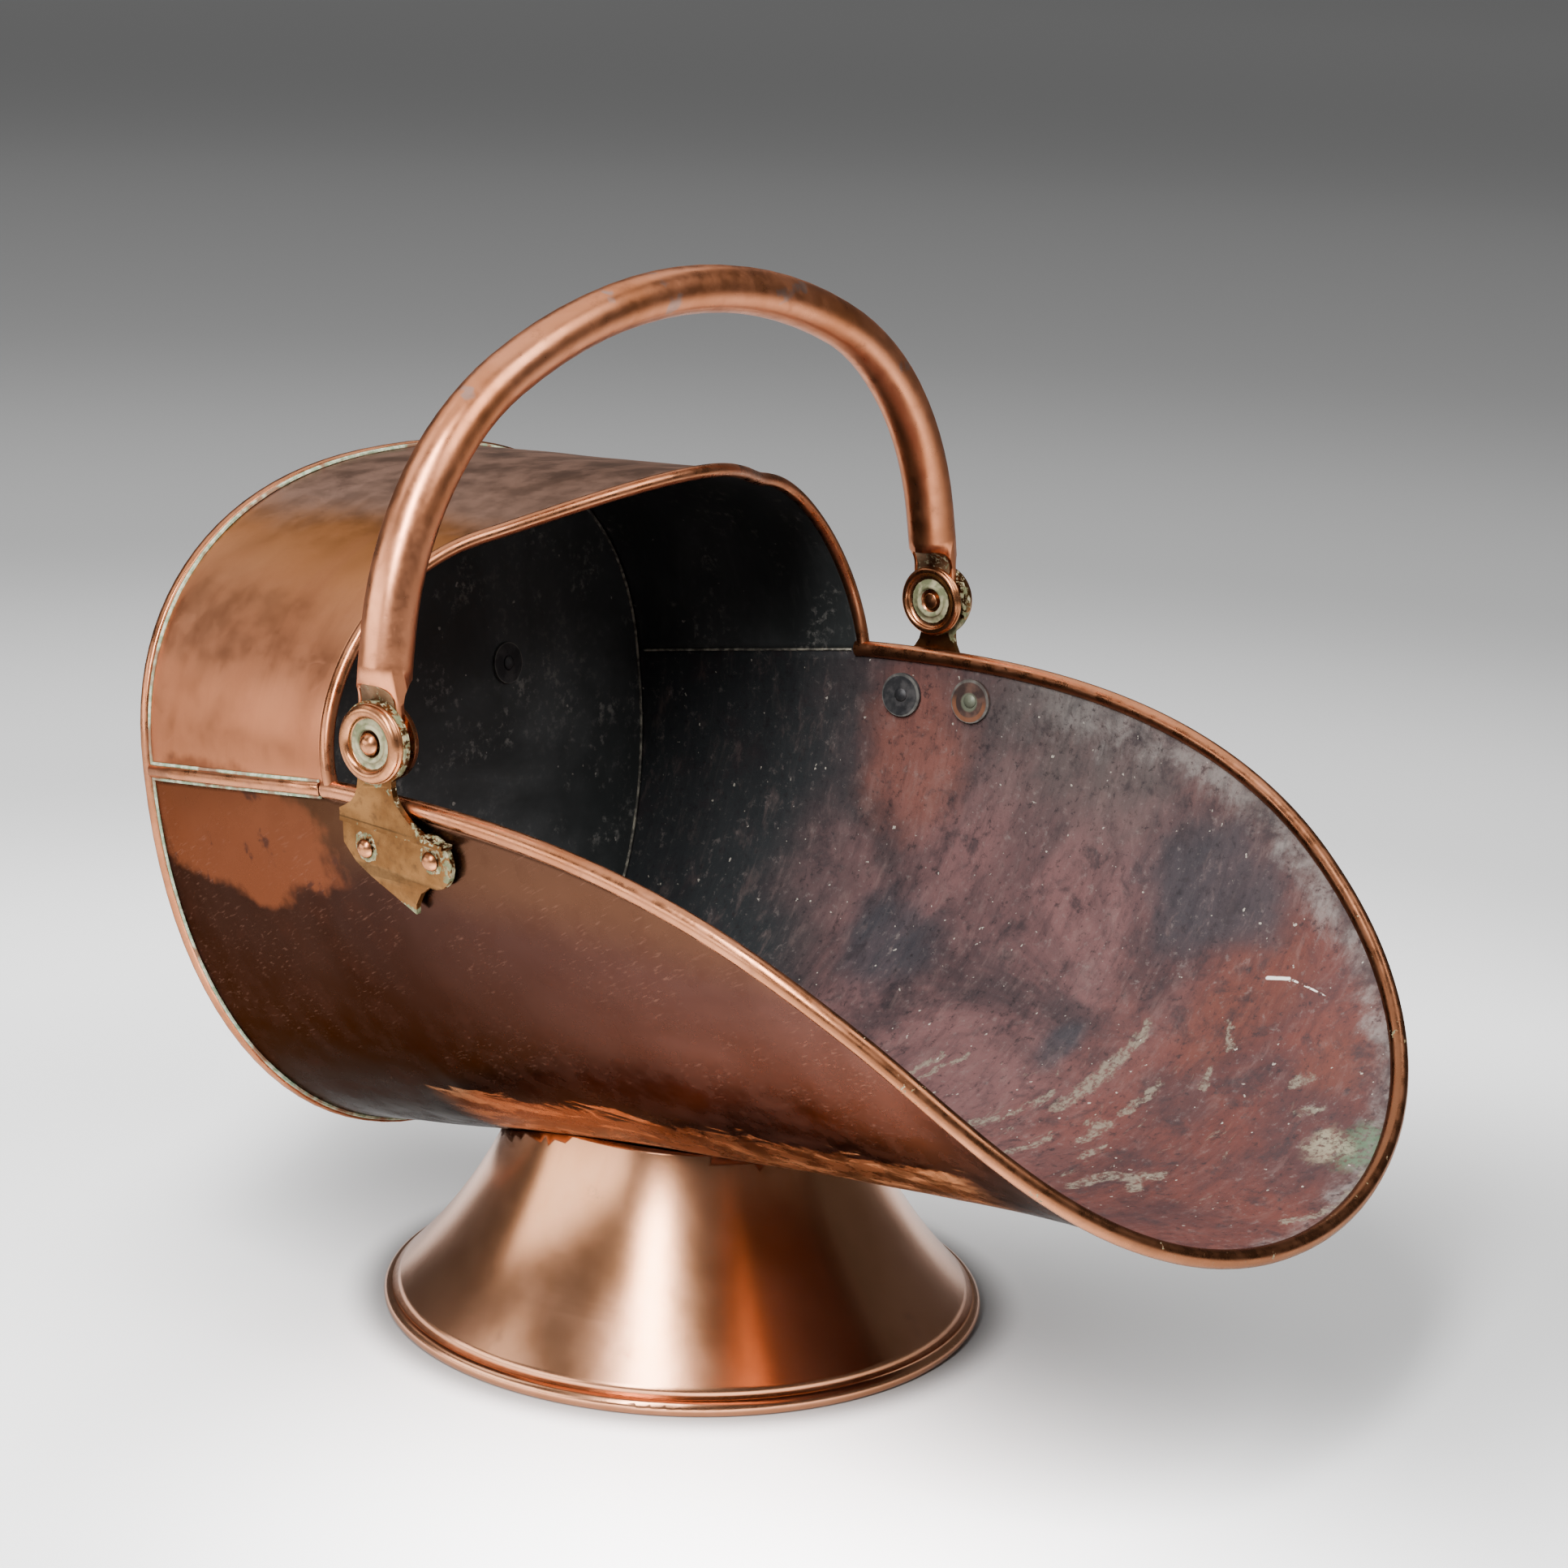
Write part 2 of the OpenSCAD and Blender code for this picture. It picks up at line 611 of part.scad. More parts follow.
// A pipe between an outer and an inner run of rings
module pipe(outer, inner) {
    n = len(outer[0]);
    m = len(outer);
    shift = n * m;
    last = (m - 1) * n;
    polyhedron(
        points = concat([for (r = outer) each r], [for (r = inner) each r]),
        faces = concat(
            ring_faces(m, n, false),
            [for (f = ring_faces(m, n, false)) [f[0] + shift, f[2] + shift, f[1] + shift]],
            [for (j = [0 : n - 1]) let (k = (j + 1) % n)
                each [[k, j, j + shift], [k, j + shift, k + shift]]],
            [for (j = [0 : n - 1]) let (k = (j + 1) % n)
                each [[last + j, last + k, last + j + shift], [last + k, last + k + shift, last + j + shift]]]
        ),
        convexity = 6
    );
}
module bail_handle() {
    color(copper) at_foot() at_pivot() rotate([-bail_lean, 0, 0]) difference() {
        pipe(handle_rings(0), handle_rings(tube_wall));
        both_sides() scoops();
    }
}
module pivot_bore() {
    translate([pivot_x, 0, 0]) rotate([0, 90, 0])
        cylinder(r = pivot_rivet_r + run_gap, h = 2 * leg_d, center = true);
}
module handle_end(name) {
    color(brass) side(name) at_pivot() rotate([-bail_lean, 0, 0]) difference() {
        union() {
            bend(leg_c, leg_r, shoulder_a + 0.4, leg_a) circle(r = plug_r, $fn = 48);
            translate([pivot_x, 0, 0]) rotate([0, 90, 0])
                cylinder(r = tongue_r, h = tongue_t, center = true);
        }
        scoops();
        pivot_bore();
    }
}
tongue_r = plug_r - run_gap;

// ---- lugs, bosses and rivets ----
ear_x = pivot_x + tongue_t / 2 + side_gap;
// Where the mouth's edge passes the lug
function edge_at_y(y, lo = 0, hi = 0.3, n = 16) =
    let (mid = (lo + hi) / 2)
    n == 0 ? mid
    : edge_point(mid)[1] > y ? edge_at_y(y, mid, hi, n - 1) : edge_at_y(y, lo, mid, n - 1);
lug_mid_y = pivot_y - 8;
lug_edge = edge_point(edge_at_y(lug_mid_y));
lug_behind = edge_point(edge_at_y(lug_mid_y + 20));
lug_ahead = edge_point(edge_at_y(lug_mid_y - 20));
lug_turn = atan2(lug_ahead[0] - lug_behind[0], lug_behind[1] - lug_ahead[1]);
saddle_in = mouth_bead_r + 3 * seat_gap;
saddle_drop = 5.9;
saddle_low = lug_edge[2] - mouth_bead_r - saddle_drop;
saddle_top = pivot_z - ear_r + 0.5;
neck_y = pivot_y - 0.6;
neck_half_w = 7.8;
// The lug's own frame: x out from the body's edge line, y along it, z up
module at_lug() {
    translate([lug_edge[0], lug_edge[1], 0]) rotate([0, 0, lug_turn]) children();
}
module upright(x0, x1) {
    translate([x0, 0, 0]) rotate([90, 0, 90]) linear_extrude(x1 - x0) children();
}
module lug(name) {
    color(brass) side(name) {
        difference() {
            union() {
                upright(ear_x, ear_x + lug_t) translate([pivot_y, pivot_z]) circle(r = ear_r);
                saddle();
                at_lug() ledge();
                at_lug() shield();
            }
            at_pivot() translate([pivot_x, 0, 0]) rotate([0, 90, 0])
                cylinder(r = pivot_rivet_r + run_gap / 2, h = 4 * leg_d, center = true);
            lug_rivet_places() rivet_hole();
        }
    }
}
// The saddle widens from the neck below the ear to the ledge, hollow on both sides:
// one row of corners for each height, u being 0 at the neck and 1 at the ledge
saddle_back = 26;
saddle_front = -24.5;
saddle_l = saddle_back - saddle_front;
saddle_rows = 9;
flare_power = 1.8;
back_flare = 1.35;
ledge_t = 1.5;
function flare(u) = 1 - power(1 - power(clamp01(u), flare_power), 1 / flare_power);
function from_lug(q) = [
    lug_edge[0] + q[0] * cos(lug_turn) - q[1] * sin(lug_turn),
    lug_edge[1] + q[0] * sin(lug_turn) + q[1] * cos(lug_turn),
    q[2]
];
function saddle_row(u, z) =
    let (
        neck = neck_y - lug_mid_y,
        front = lerp(neck - neck_half_w, saddle_front, flare(u)),
        back = lerp(neck + neck_half_w, saddle_back, flare(back_flare * u))
    )
    [
        for (q = [[0, front], [lug_t, front], [lug_t, back], [0, back]])
            lerp([ear_x + q[0], lug_mid_y + q[1], z], from_lug([saddle_in + q[0], q[1], z]), smooth(u))
    ];
module saddle() {
    loft([
        saddle_row(0, pivot_z),
        for (i = [0 : saddle_rows])
            let (u = 1 - pow(1 - i / saddle_rows, 2))
            saddle_row(u, lerp(saddle_top, saddle_low + ledge_t, u)),
        saddle_row(1, saddle_low)
    ]);
}
// The ledge turns in under the rolled edge
module ledge() {
    translate([ledge_in, saddle_front, saddle_low])
        cube([saddle_in + lug_t / 2 - ledge_in, saddle_l, ledge_t]);
}
// The shield lies on the body, which is nearly a drum of this radius there
shield_t = 2;
shield_bend = 171;
shield_low = 27.9;
shield_back = 28.3;
shield_in = sheet_t / 2 + 2 * seat_gap;
shield_out = shield_in + shield_t;
ledge_in = shield_in + seat_gap;
module shield_outline() {
    polygon([
        [shield_back, saddle_low + 1], [shield_back, saddle_low - 9],
        [22.6, saddle_low - 15], [16, saddle_low - 18.6], [6.9, saddle_low - 22.5],
        [-3.1, 1 - shield_low + saddle_low], [-5.4, saddle_low - shield_low],
        [-6.1, saddle_low - 24.1], [-9.3, saddle_low - 19.3], [-13.4, saddle_low - 16.2],
        [-22.4, saddle_low - 10.7], [-22.4, saddle_low + 1]
    ]);
    translate([-15.6, saddle_low - 6.6]) circle(r = 9.6);
}
module shield() {
    drum_l = 2 * saddle_l;
    intersection() {
        upright(-shield_low, shield_low) shield_outline();
        translate([-shield_bend, 0, lug_edge[2]]) rotate([90, 0, 0]) difference() {
            cylinder(r = shield_bend + shield_out, h = drum_l, center = true, $fn = 180);
            cylinder(r = shield_bend + shield_in, h = drum_l + 1, center = true, $fn = 180);
        }
    }
}
// Each rivet stands square to the body's skin:
// [distance along the edge, height, room between the shield and the skin's own curve]
lug_rivets = [[16.9, saddle_low - 8.4, 0.9], [-15.5, saddle_low - 5.6, 1.3]];
module at_lug_rivet(q) {
    y = lug_edge[1] + q[0] * cos(lug_turn);
    yb = section_y(y, q[1]);
    a = angle_by_depth(section_s(y, q[1]), yb);
    n = skin_normal(a, yb);
    translate(skin(a, yb)) rotate([0, acos(n[2]), atan2(n[1], n[0])]) children();
}
module lug_rivet_places() {
    for (q = lug_rivets) at_lug_rivet(q) children();
}
module rivet_hole() {
    cylinder(r = rivet_r + run_gap, h = 12 * rivet_r, center = true);
}
// A flat washer inside the hollow of the body touches it with its rim
washer_in = sheet_t / 2 + 2 * seat_gap + washer_r * washer_r / (2 * shield_bend);
module lug_rivet_set(name) {
    tail = washer_in + washer_t + rivet_gap;
    color(copper) side(name) for (q = lug_rivets) at_lug_rivet(q) {
        head = shield_out + q[2];
        translate([0, 0, -tail]) cylinder(r = rivet_r, h = head + tail);
        translate([0, 0, head]) dome(1.75 * rivet_r, 1.3 * rivet_r);
        translate([0, 0, -tail]) mirror([0, 0, 1]) dome(1.4 * rivet_r, 0.5 * rivet_r);
    }
}
// A domed head of the given radius and height, standing on z = 0
module dome(r, h) {
    ball = (r * r + h * h) / (2 * h);
    rotate_extrude() intersection() {
        translate([0, h - ball]) circle(r = ball, $fn = 48);
        square([r, h]);
    }
}
module lug_washer_set(name) {
    color(copper) side(name) lug_rivet_places()
        translate([0, 0, -washer_in - washer_t]) difference() {
            cylinder(r = washer_r, h = washer_t);
            cylinder(r = rivet_r + run_gap, h = 4 * washer_t, center = true);
        }
}
boss_base = 1.6;
collar_r = 0.9;
// A turned disc with a rounded outer ring and a small collar round the rivet
module boss_rings(ring) {
    difference() {
        union() {
            cylinder(r = boss_r, h = boss_base);
            rotate_extrude() translate([boss_r - ring, boss_base]) circle(r = ring - 0.2, $fn = 32);
            rotate_extrude() translate([pivot_rivet_r + 2.6, boss_base]) circle(r = collar_r, $fn = 32);
        }
        translate([0, 0, -2 * ring]) cylinder(r = 2 * boss_r, h = 2 * ring);
        cylinder(r = pivot_rivet_r + run_gap / 2, h = 4 * boss_r, center = true);
    }
}
module outer_boss(name) {
    color(copper) side(name) at_pivot() translate([ear_x + lug_t + rivet_gap, 0, 0])
        rotate([0, 90, 0]) boss_rings(2.5);
}
module inner_boss(name) {
    color(brass) side(name) at_pivot() translate([pivot_x - tongue_t / 2 - side_gap, 0, 0])
        rotate([0, -90, 0]) boss_rings(1.6);
}
module pivot_rivet(name) {
    shank_in = pivot_x - tongue_t / 2 - side_gap - boss_base - collar_r / 3;
    shank_out = ear_x + lug_t + rivet_gap + boss_base + collar_r / 2;
    color(copper) side(name) at_pivot() rotate([0, 90, 0]) {
        translate([0, 0, shank_in]) cylinder(r = pivot_rivet_r, h = shank_out - shank_in);
        translate([0, 0, shank_out]) dome(pivot_rivet_r + 0.8, 2.8);
        translate([0, 0, shank_in]) mirror([0, 0, 1]) dome(pivot_rivet_r, 0.8);
    }
}

// ---- back handle ----
grip_rise = (grip_z - belly_at(back_y)) / cos(back_lean);
grip_flange_r = grip_r + 4;
grip_flange_t = 2.4;
grip_depth = grip_reach - grip_r;
grip_back_y = plate_y(grip_z) + (sheet_t + rivet_gap + grip_depth) * cos(back_lean) + grip_r;
grip_rivet_l = 10;
module grip_places() {
    for (d = [-1, 1]) translate([d * grip_half_w, grip_rise, 0]) children();
}
module grip_section() {
    circle(r = grip_r, $fn = 48);
}
module back_handle() {
    color(copper) on_plate() translate([0, grip_rise, -sheet_t - rivet_gap]) mirror([0, 0, 1]) difference() {
        union() {
            both_sides() {
                translate([grip_half_w, 0, 0]) cylinder(r = grip_flange_r, h = grip_flange_t);
                translate([grip_half_w, 0, 0]) cylinder(r = grip_r, h = grip_depth - grip_bend_r);
                translate([grip_half_w - grip_bend_r, 0, grip_depth - grip_bend_r])
                    rotate([90, 0, 0]) rotate_extrude(angle = 90, $fn = 96)
                    translate([grip_bend_r, 0]) grip_section();
            }
            translate([0, 0, grip_depth]) rotate([0, 90, 0])
                cylinder(r = grip_r, h = 2 * (grip_half_w - grip_bend_r), center = true, $fn = 48);
        }
        both_sides() translate([grip_half_w, 0, -1])
            cylinder(r = rivet_r + run_gap, h = 1 + grip_rivet_l + rivet_r);
    }
}
module back_handle_rivets() {
    color(copper) on_plate() grip_places() {
        tail = sheet_t + grip_rivet_l;
        head = washer_t + 2 * side_gap;
        translate([0, 0, -tail]) cylinder(r = rivet_r, h = tail + head);
        translate([0, 0, head]) dome(1.5 * rivet_r, 0.6 * rivet_r);
    }
}
module back_washers() {
    color(copper) on_plate() grip_places() translate([0, 0, side_gap]) difference() {
        cylinder(r = washer_r - 0.5, h = washer_t);
        cylinder(r = rivet_r + run_gap, h = 4 * washer_t, center = true);
    }
}

bucket();
hood();
back_plate();
back_seam();
side_seam("left");  // side_seam_left
side_seam("right");  // side_seam_right
mouth_bead();
mouth_wire();
hood_bead();
hood_wire();
foot();
foot_bead();
foot_wire();
bail_handle();
handle_end("left");  // handle_end_left
handle_end("right");  // handle_end_right
lug("left");  // lug_left
lug("right");  // lug_right
outer_boss("left");  // outer_boss_left
outer_boss("right");  // outer_boss_right
inner_boss("left");  // inner_boss_left
inner_boss("right");  // inner_boss_right
pivot_rivet("left");  // pivot_rivet_left
pivot_rivet("right");  // pivot_rivet_right
lug_rivet_set("left");  // lug_rivets_left
lug_rivet_set("right");  // lug_rivets_right
lug_washer_set("left");  // lug_washers_left
lug_washer_set("right");  // lug_washers_right
back_handle();
back_handle_rivets();
back_washers();
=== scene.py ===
from functools import reduce
from math import acos, asin, copysign, cos, pi, radians, sin, sqrt, tan

import bmesh
import bpy
from mathutils import Matrix, Vector, noise


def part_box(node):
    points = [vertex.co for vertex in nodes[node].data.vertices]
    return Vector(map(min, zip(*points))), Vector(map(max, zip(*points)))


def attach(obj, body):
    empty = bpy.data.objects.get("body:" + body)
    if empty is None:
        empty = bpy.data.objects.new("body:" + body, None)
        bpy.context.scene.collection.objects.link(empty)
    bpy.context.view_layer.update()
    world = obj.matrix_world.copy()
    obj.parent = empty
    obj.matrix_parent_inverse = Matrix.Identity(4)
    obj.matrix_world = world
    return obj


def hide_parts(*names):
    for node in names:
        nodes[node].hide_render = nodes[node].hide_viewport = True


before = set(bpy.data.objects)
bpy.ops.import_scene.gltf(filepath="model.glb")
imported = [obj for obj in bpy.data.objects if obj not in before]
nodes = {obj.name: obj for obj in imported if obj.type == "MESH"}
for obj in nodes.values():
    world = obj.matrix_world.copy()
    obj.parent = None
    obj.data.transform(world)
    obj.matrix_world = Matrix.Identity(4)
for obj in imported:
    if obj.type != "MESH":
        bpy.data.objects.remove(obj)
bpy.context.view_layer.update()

foot_low, foot_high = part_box("foot_bead")
foot_y = (foot_low.y + foot_high.y) / 2

# ---- the sheet's shape, in millimetres about the centre of the foot, as in the part ----
sheet_t = 1.2
back_lean = radians(8.95)
belly_back_z, belly_z, lip_z = 47.4, 68.8, 97.0
back_y, lip_y = 120.8, 268.5
back_half_w, belly_half_w, belly_wide_y = 138.8, 161.5, 136.0
lip_r, lip_flat_y = 199.0, 195.0
back_square, hood_square = 2.15, 2.3
seam_back_z, corner_y, corner_z = 206.0, 40.0, 222.5
back_top_h, hood_rise, hood_crown_y = 99.7, 95.5, 10.2
mouth_bead_r, hood_bead_r = 3.3, 2.6
seam_front = 2.2
# Where the sections start to square up and to change depth, and the edge's special places
square_from_y, depth_from_y = -40.0, -60.0
plate_gap, flat_below, shoulder_a = 0.15, radians(40), 62

lean = tan(back_lean)
back_drop, lip_rise = belly_z - belly_back_z, lip_z - belly_z
belly_curve = (lip_y * back_drop - back_y * lip_rise) / (lip_y * back_y * (lip_y + back_y))
belly_slope = (back_drop - belly_curve * back_y * back_y) / back_y


def lerp(a, b, t):
    return a + (b - a) * t


def clamp(t):
    return max(0.0, min(1.0, t))


def smooth(t):
    return t * t * (3 - 2 * t)


def power(v, p):
    return copysign(abs(v) ** p, v)


def belly_at(y):
    return belly_z - belly_slope * y - belly_curve * y * y


def section_y(y, z):
    """Where the leaning section through a point of the side view meets the belly's line."""
    q = y - lean * (z - belly_z)
    b = 1 + lean * belly_slope
    return 2 * q / (b + sqrt(b * b + 4 * lean * belly_curve * q))


def section_s(y, z):
    """How far up its leaning section that point lies."""
    return (z - belly_at(section_y(y, z))) / cos(back_lean)


def half_width(yb):
    if yb > -belly_wide_y:
        run = (yb + belly_wide_y) / (back_y + belly_wide_y)
        return belly_half_w - (belly_half_w - back_half_w) * run ** 2
    if yb > -lip_flat_y:
        return belly_half_w
    return belly_half_w + (lip_r - belly_half_w) * ((-yb - lip_flat_y) / (lip_y - lip_flat_y)) ** 2


def squareness(yb):
    return 2 + (back_square - 2) * clamp((yb - square_from_y) / (back_y - square_from_y))


def plate_y(z):
    return back_y + lean * (z - belly_at(back_y))


seam_back = Vector((plate_y(seam_back_z), seam_back_z))
corner = Vector((corner_y, corner_z))
lip_tip = Vector((-lip_y, lip_z))
mouth_pull = Vector((corner_y - 161, corner_z + 12.4))
lip_pull = lip_tip + Vector((81, 102.6))


def bezier(p, t):
    return (1 - t) ** 3 * p[0] + 3 * (1 - t) ** 2 * t * p[1] + 3 * (1 - t) * t * t * p[2] + t ** 3 * p[3]


corner_yb = section_y(corner.x, corner.y)
corner_s = section_s(corner.x, corner.y)
back_s = section_s(seam_back.x, seam_back.y)
corner_x = half_width(corner_yb)


def half_depth(yb):
    if yb > corner_yb:
        return lerp(corner_s, back_s, (yb - corner_yb) / (back_y - corner_yb))
    share = clamp((yb - depth_from_y) / (corner_yb - depth_from_y))
    return half_width(yb) + (corner_s - corner_x) * smooth(share)


def skin(a, yb):
    """The body at the angle a from the belly's line, in the section that starts at yb."""
    p = 2 / squareness(yb)
    s = half_depth(yb) * (1 - power(cos(a), p))
    x = half_width(yb) * power(sin(a), p)
    return Vector((x, yb + s * sin(back_lean), belly_at(yb) + s * cos(back_lean)))


def skin_normal(a, yb):
    along = skin(a, yb + 1) - skin(a, yb - 1)
    return along.cross(skin(a + 0.007, yb) - skin(a - 0.007, yb)).normalized()


def angle_by_depth(s, yb):
    q = 1 - s / half_depth(yb)
    return pi / 2 if q <= 0 else acos(min(1, q) ** (squareness(yb) / 2))


def edge_point(t):
    """The body's edge: t is -1 at the back plate, 0 at the hood's corner and 1 at the lip's tip."""
    if t < 0:
        q = corner.lerp(seam_back, -t)
    else:
        q = bezier((corner, mouth_pull, lip_pull, lip_tip), 1 - (1 - t) ** 2)
    yb = section_y(q.x, q.y)
    return skin(angle_by_depth(section_s(q.x, q.y), yb), yb)


def edge_frame(t):
    """The edge's point, the direction into the sheet and the direction out of it."""
    point = edge_point(t)
    run = Vector((-1, 0, 0)) if t >= 0.999 else (edge_point(t + 0.001) - edge_point(t - 0.001)).normalized()
    yb = section_y(point.y, point.z)
    out = skin_normal(angle_by_depth(section_s(point.y, point.z), yb), yb)
    return point, out.cross(run).normalized(), out


def inset_station(t, gap):
    """The angle and the section of the place that lies a gap inside the edge."""
    point, inward, _ = edge_frame(t)
    p = point + inward * gap
    yb = min(section_y(p.y, p.z), back_y - plate_gap)
    a = angle_by_depth(section_s(p.y, p.z), yb)
    if a <= flat_below:
        a = asin(clamp(p.x / half_width(yb)) ** (squareness(yb) / 2))
    return a, yb


# The hood's front edge: its side up to the shoulder, then its top to the middle
shoulder = Vector((81, hood_crown_y + 27.8, corner_z + hood_rise - 16.4))
hood_side = (
    Vector((corner_x, corner_y, corner_z)),
    Vector((corner_x + 4, corner_y + 8.5, corner_z + 30)),
    Vector((corner_x - 28, corner_y + 11, corner_z + 70.8)),
    shoulder,
)
hood_top = (
    shoulder,
    Vector((62, shoulder.y - 5.2, shoulder.z + 3.5)),
    Vector((34, hood_crown_y, corner_z + hood_rise)),
    Vector((0, hood_crown_y, corner_z + hood_rise)),
)


def hood_edge(a):
    if a > 90:
        return hood_edge(180 - a) * Vector((-1, 1, 1))
    if a < shoulder_a:
        return bezier(hood_side, a / shoulder_a)
    return bezier(hood_top, (a - shoulder_a) / (90 - shoulder_a))


def on_plate(x, s, ahead=0.0):
    """A point s up the back plate's slope and x across it, or that far ahead of its face."""
    return Vector((
        x,
        back_y + s * sin(back_lean) - ahead * cos(back_lean),
        belly_at(back_y) + s * cos(back_lean) + ahead * sin(back_lean),
    ))


def arch_point(a):
    s = back_s + back_top_h * power(sin(radians(a)), 2 / hood_square)
    return on_plate(half_width(back_y) * power(cos(radians(a)), 2 / hood_square), s)


def hood_point(a, v):
    """The hood at a degrees round the arch, v from 0 at the back plate to 1 at the front edge."""
    p = arch_point(a).lerp(hood_edge(a), v)
    seam = seam_back.lerp(corner, v)
    p.x *= half_width(section_y(seam.x, seam.y)) / lerp(back_half_w, corner_x, v)
    return p


def outline(i, steps, grow, ahead=0.0):
    """Point i of 2*steps round the back plate: the belly's half first, then the hood's."""
    half_w = back_half_w + grow
    if i <= steps:
        a, p = lerp(-pi / 2, pi / 2, i / steps), 2 / back_square
        return on_plate(half_w * power(sin(a), p), back_s - (back_s + grow) * power(cos(a), p), ahead)
    a, p = pi * (i - steps) / steps, 2 / hood_square
    return on_plate(half_w * power(cos(a), p), back_s + (back_top_h + grow) * power(sin(a), p), ahead)


def place(p):
    """From millimetres about the foot to metres in the part's frame."""
    return Vector((p.x, p.y, p.z)) / 1000 + Vector((0, foot_y, 0))


# ---- shader pieces ----
class Board:
    """Adds nodes to a tree and links them; a value may be a number, a colour or a socket."""

    def __init__(self, tree):
        self.tree = tree

    def add(self, kind, outputs=0, inputs=None, **settings):
        node = self.tree.nodes.new(kind)
        for name, value in settings.items():
            setattr(node, name, value)
        for key, value in (inputs or {}).items():
            self.feed(node.inputs[key], value)
        return node.outputs[outputs]

    def feed(self, socket, value):
        if isinstance(value, bpy.types.NodeSocket):
            self.tree.links.new(value, socket)
        elif value is not None:
            if socket.type == "RGBA" and len(value) == 3:
                value = (*value, 1)
            socket.default_value = value

    def math(self, operation, a, b=0.0, clamp_it=False):
        return self.add("ShaderNodeMath", inputs={0: a, 1: b}, operation=operation, use_clamp=clamp_it)

    def plus(self, a, b):
        return self.math("ADD", a, b)

    def minus(self, a, b):
        return self.math("SUBTRACT", a, b)

    def times(self, a, b):
        return self.math("MULTIPLY", a, b)

    def most(self, a, b):
        return self.math("MAXIMUM", a, b)

    def least(self, a, b):
        return self.math("MINIMUM", a, b)

    def vector(self, operation, a, b=(0, 0, 0), output=0):
        return self.add("ShaderNodeVectorMath", output, {0: a, 1: b}, operation=operation)

    def mix(self, factor, a, b):
        return self.add("ShaderNodeMix", 2, {0: factor, 6: a, 7: b}, data_type="RGBA")

    def blend(self, factor, a, b):
        return self.add("ShaderNodeMix", 0, {0: factor, 2: a, 3: b}, data_type="FLOAT")

    def noise(self, vector, scale, detail=4.0, rough=0.55, warp=0.0, output=0):
        return self.add(
            "ShaderNodeTexNoise", output,
            {"Vector": vector, "Scale": scale, "Detail": detail, "Roughness": rough, "Distortion": warp},
        )

    def squeeze(self, vector, scale, turn=(0, 0, 0)):
        return self.add("ShaderNodeMapping", inputs={"Vector": vector, "Scale": scale, "Rotation": turn})

    def step(self, value, low, high, bottom=0.0, top=1.0):
        return self.add(
            "ShaderNodeMapRange",
            inputs={"Value": value, "From Min": low, "From Max": high, "To Min": bottom, "To Max": top},
            interpolation_type="SMOOTHSTEP",
        )

    def group(self, tree, output, **values):
        node = self.tree.nodes.new("ShaderNodeGroup")
        node.node_tree = tree
        for name, value in values.items():
            self.feed(node.inputs[name.replace("_", " ")], value)
        return node.outputs[output]


def new_group(name, inputs, outputs):
    tree = bpy.data.node_groups.new(name, "ShaderNodeTree")
    for title, kind, value in inputs:
        socket = tree.interface.new_socket(title, in_out="INPUT", socket_type="NodeSocket" + kind)
        if value is not None:
            socket.default_value = value
    for title, kind in outputs:
        tree.interface.new_socket(title, in_out="OUTPUT", socket_type="NodeSocket" + kind)
    return Board(tree), tree.nodes.new("NodeGroupInput").outputs, tree.nodes.new("NodeGroupOutput").inputs


def make_patch_group():
    """A ragged spot: 1 inside, 0 outside, about a centre in metres."""
    b, given, result = new_group(
        "ragged spot",
        [("Coords", "Vector", None), ("Centre", "Vector", None), ("Size", "Vector", (0.05, 0.05, 0.05)),
         ("Ragged", "Float", 0.5), ("Grain", "Float", 30.0), ("Soft", "Float", 0.2)],
        [("Mask", "Float")],
    )
    away = b.vector("DIVIDE", b.vector("SUBTRACT", given["Coords"], given["Centre"]), given["Size"])
    ruffle = b.noise(given["Coords"], given["Grain"], 4, 0.6, output=1)
    shift = b.vector("SCALE", b.vector("SUBTRACT", ruffle, (0.5, 0.5, 0.5)))
    b.feed(shift.node.inputs["Scale"], given["Ragged"])
    distance = b.vector("LENGTH", b.vector("ADD", away, shift), output=1)
    low = b.minus(1.0, given["Soft"])
    high = b.plus(1.0, given["Soft"])
    b.feed(result["Mask"], b.step(distance, low, high, 1.0, 0.0))
    return b.tree


def make_scratch_group():
    """Fine lines drawn out along one direction, as a mask."""
    b, given, result = new_group(
        "fine scratches",
        [("Coords", "Vector", None), ("Turn", "Vector", (0, 0, 0)), ("Across", "Float", 900.0),
         ("Along", "Float", 12.0), ("Sparse", "Float", 0.62)],
        [("Mask", "Float")],
    )
    turned = b.add("ShaderNodeVectorRotate", inputs={"Vector": given["Coords"], "Rotation": given["Turn"]},
                   rotation_type="EULER_XYZ")
    scale = b.add("ShaderNodeCombineXYZ", inputs={0: given["Across"], 1: given["Along"], 2: given["Across"]})
    drawn = b.vector("MULTIPLY", turned, scale)
    lines = b.noise(drawn, 1.0, 3, 0.6)
    broken = b.noise(given["Coords"], 35.0, 3)
    picked = b.step(lines, given["Sparse"], b.plus(given["Sparse"], 0.12))
    b.feed(result["Mask"], b.times(picked, b.step(broken, 0.42, 0.6)))
    return b.tree


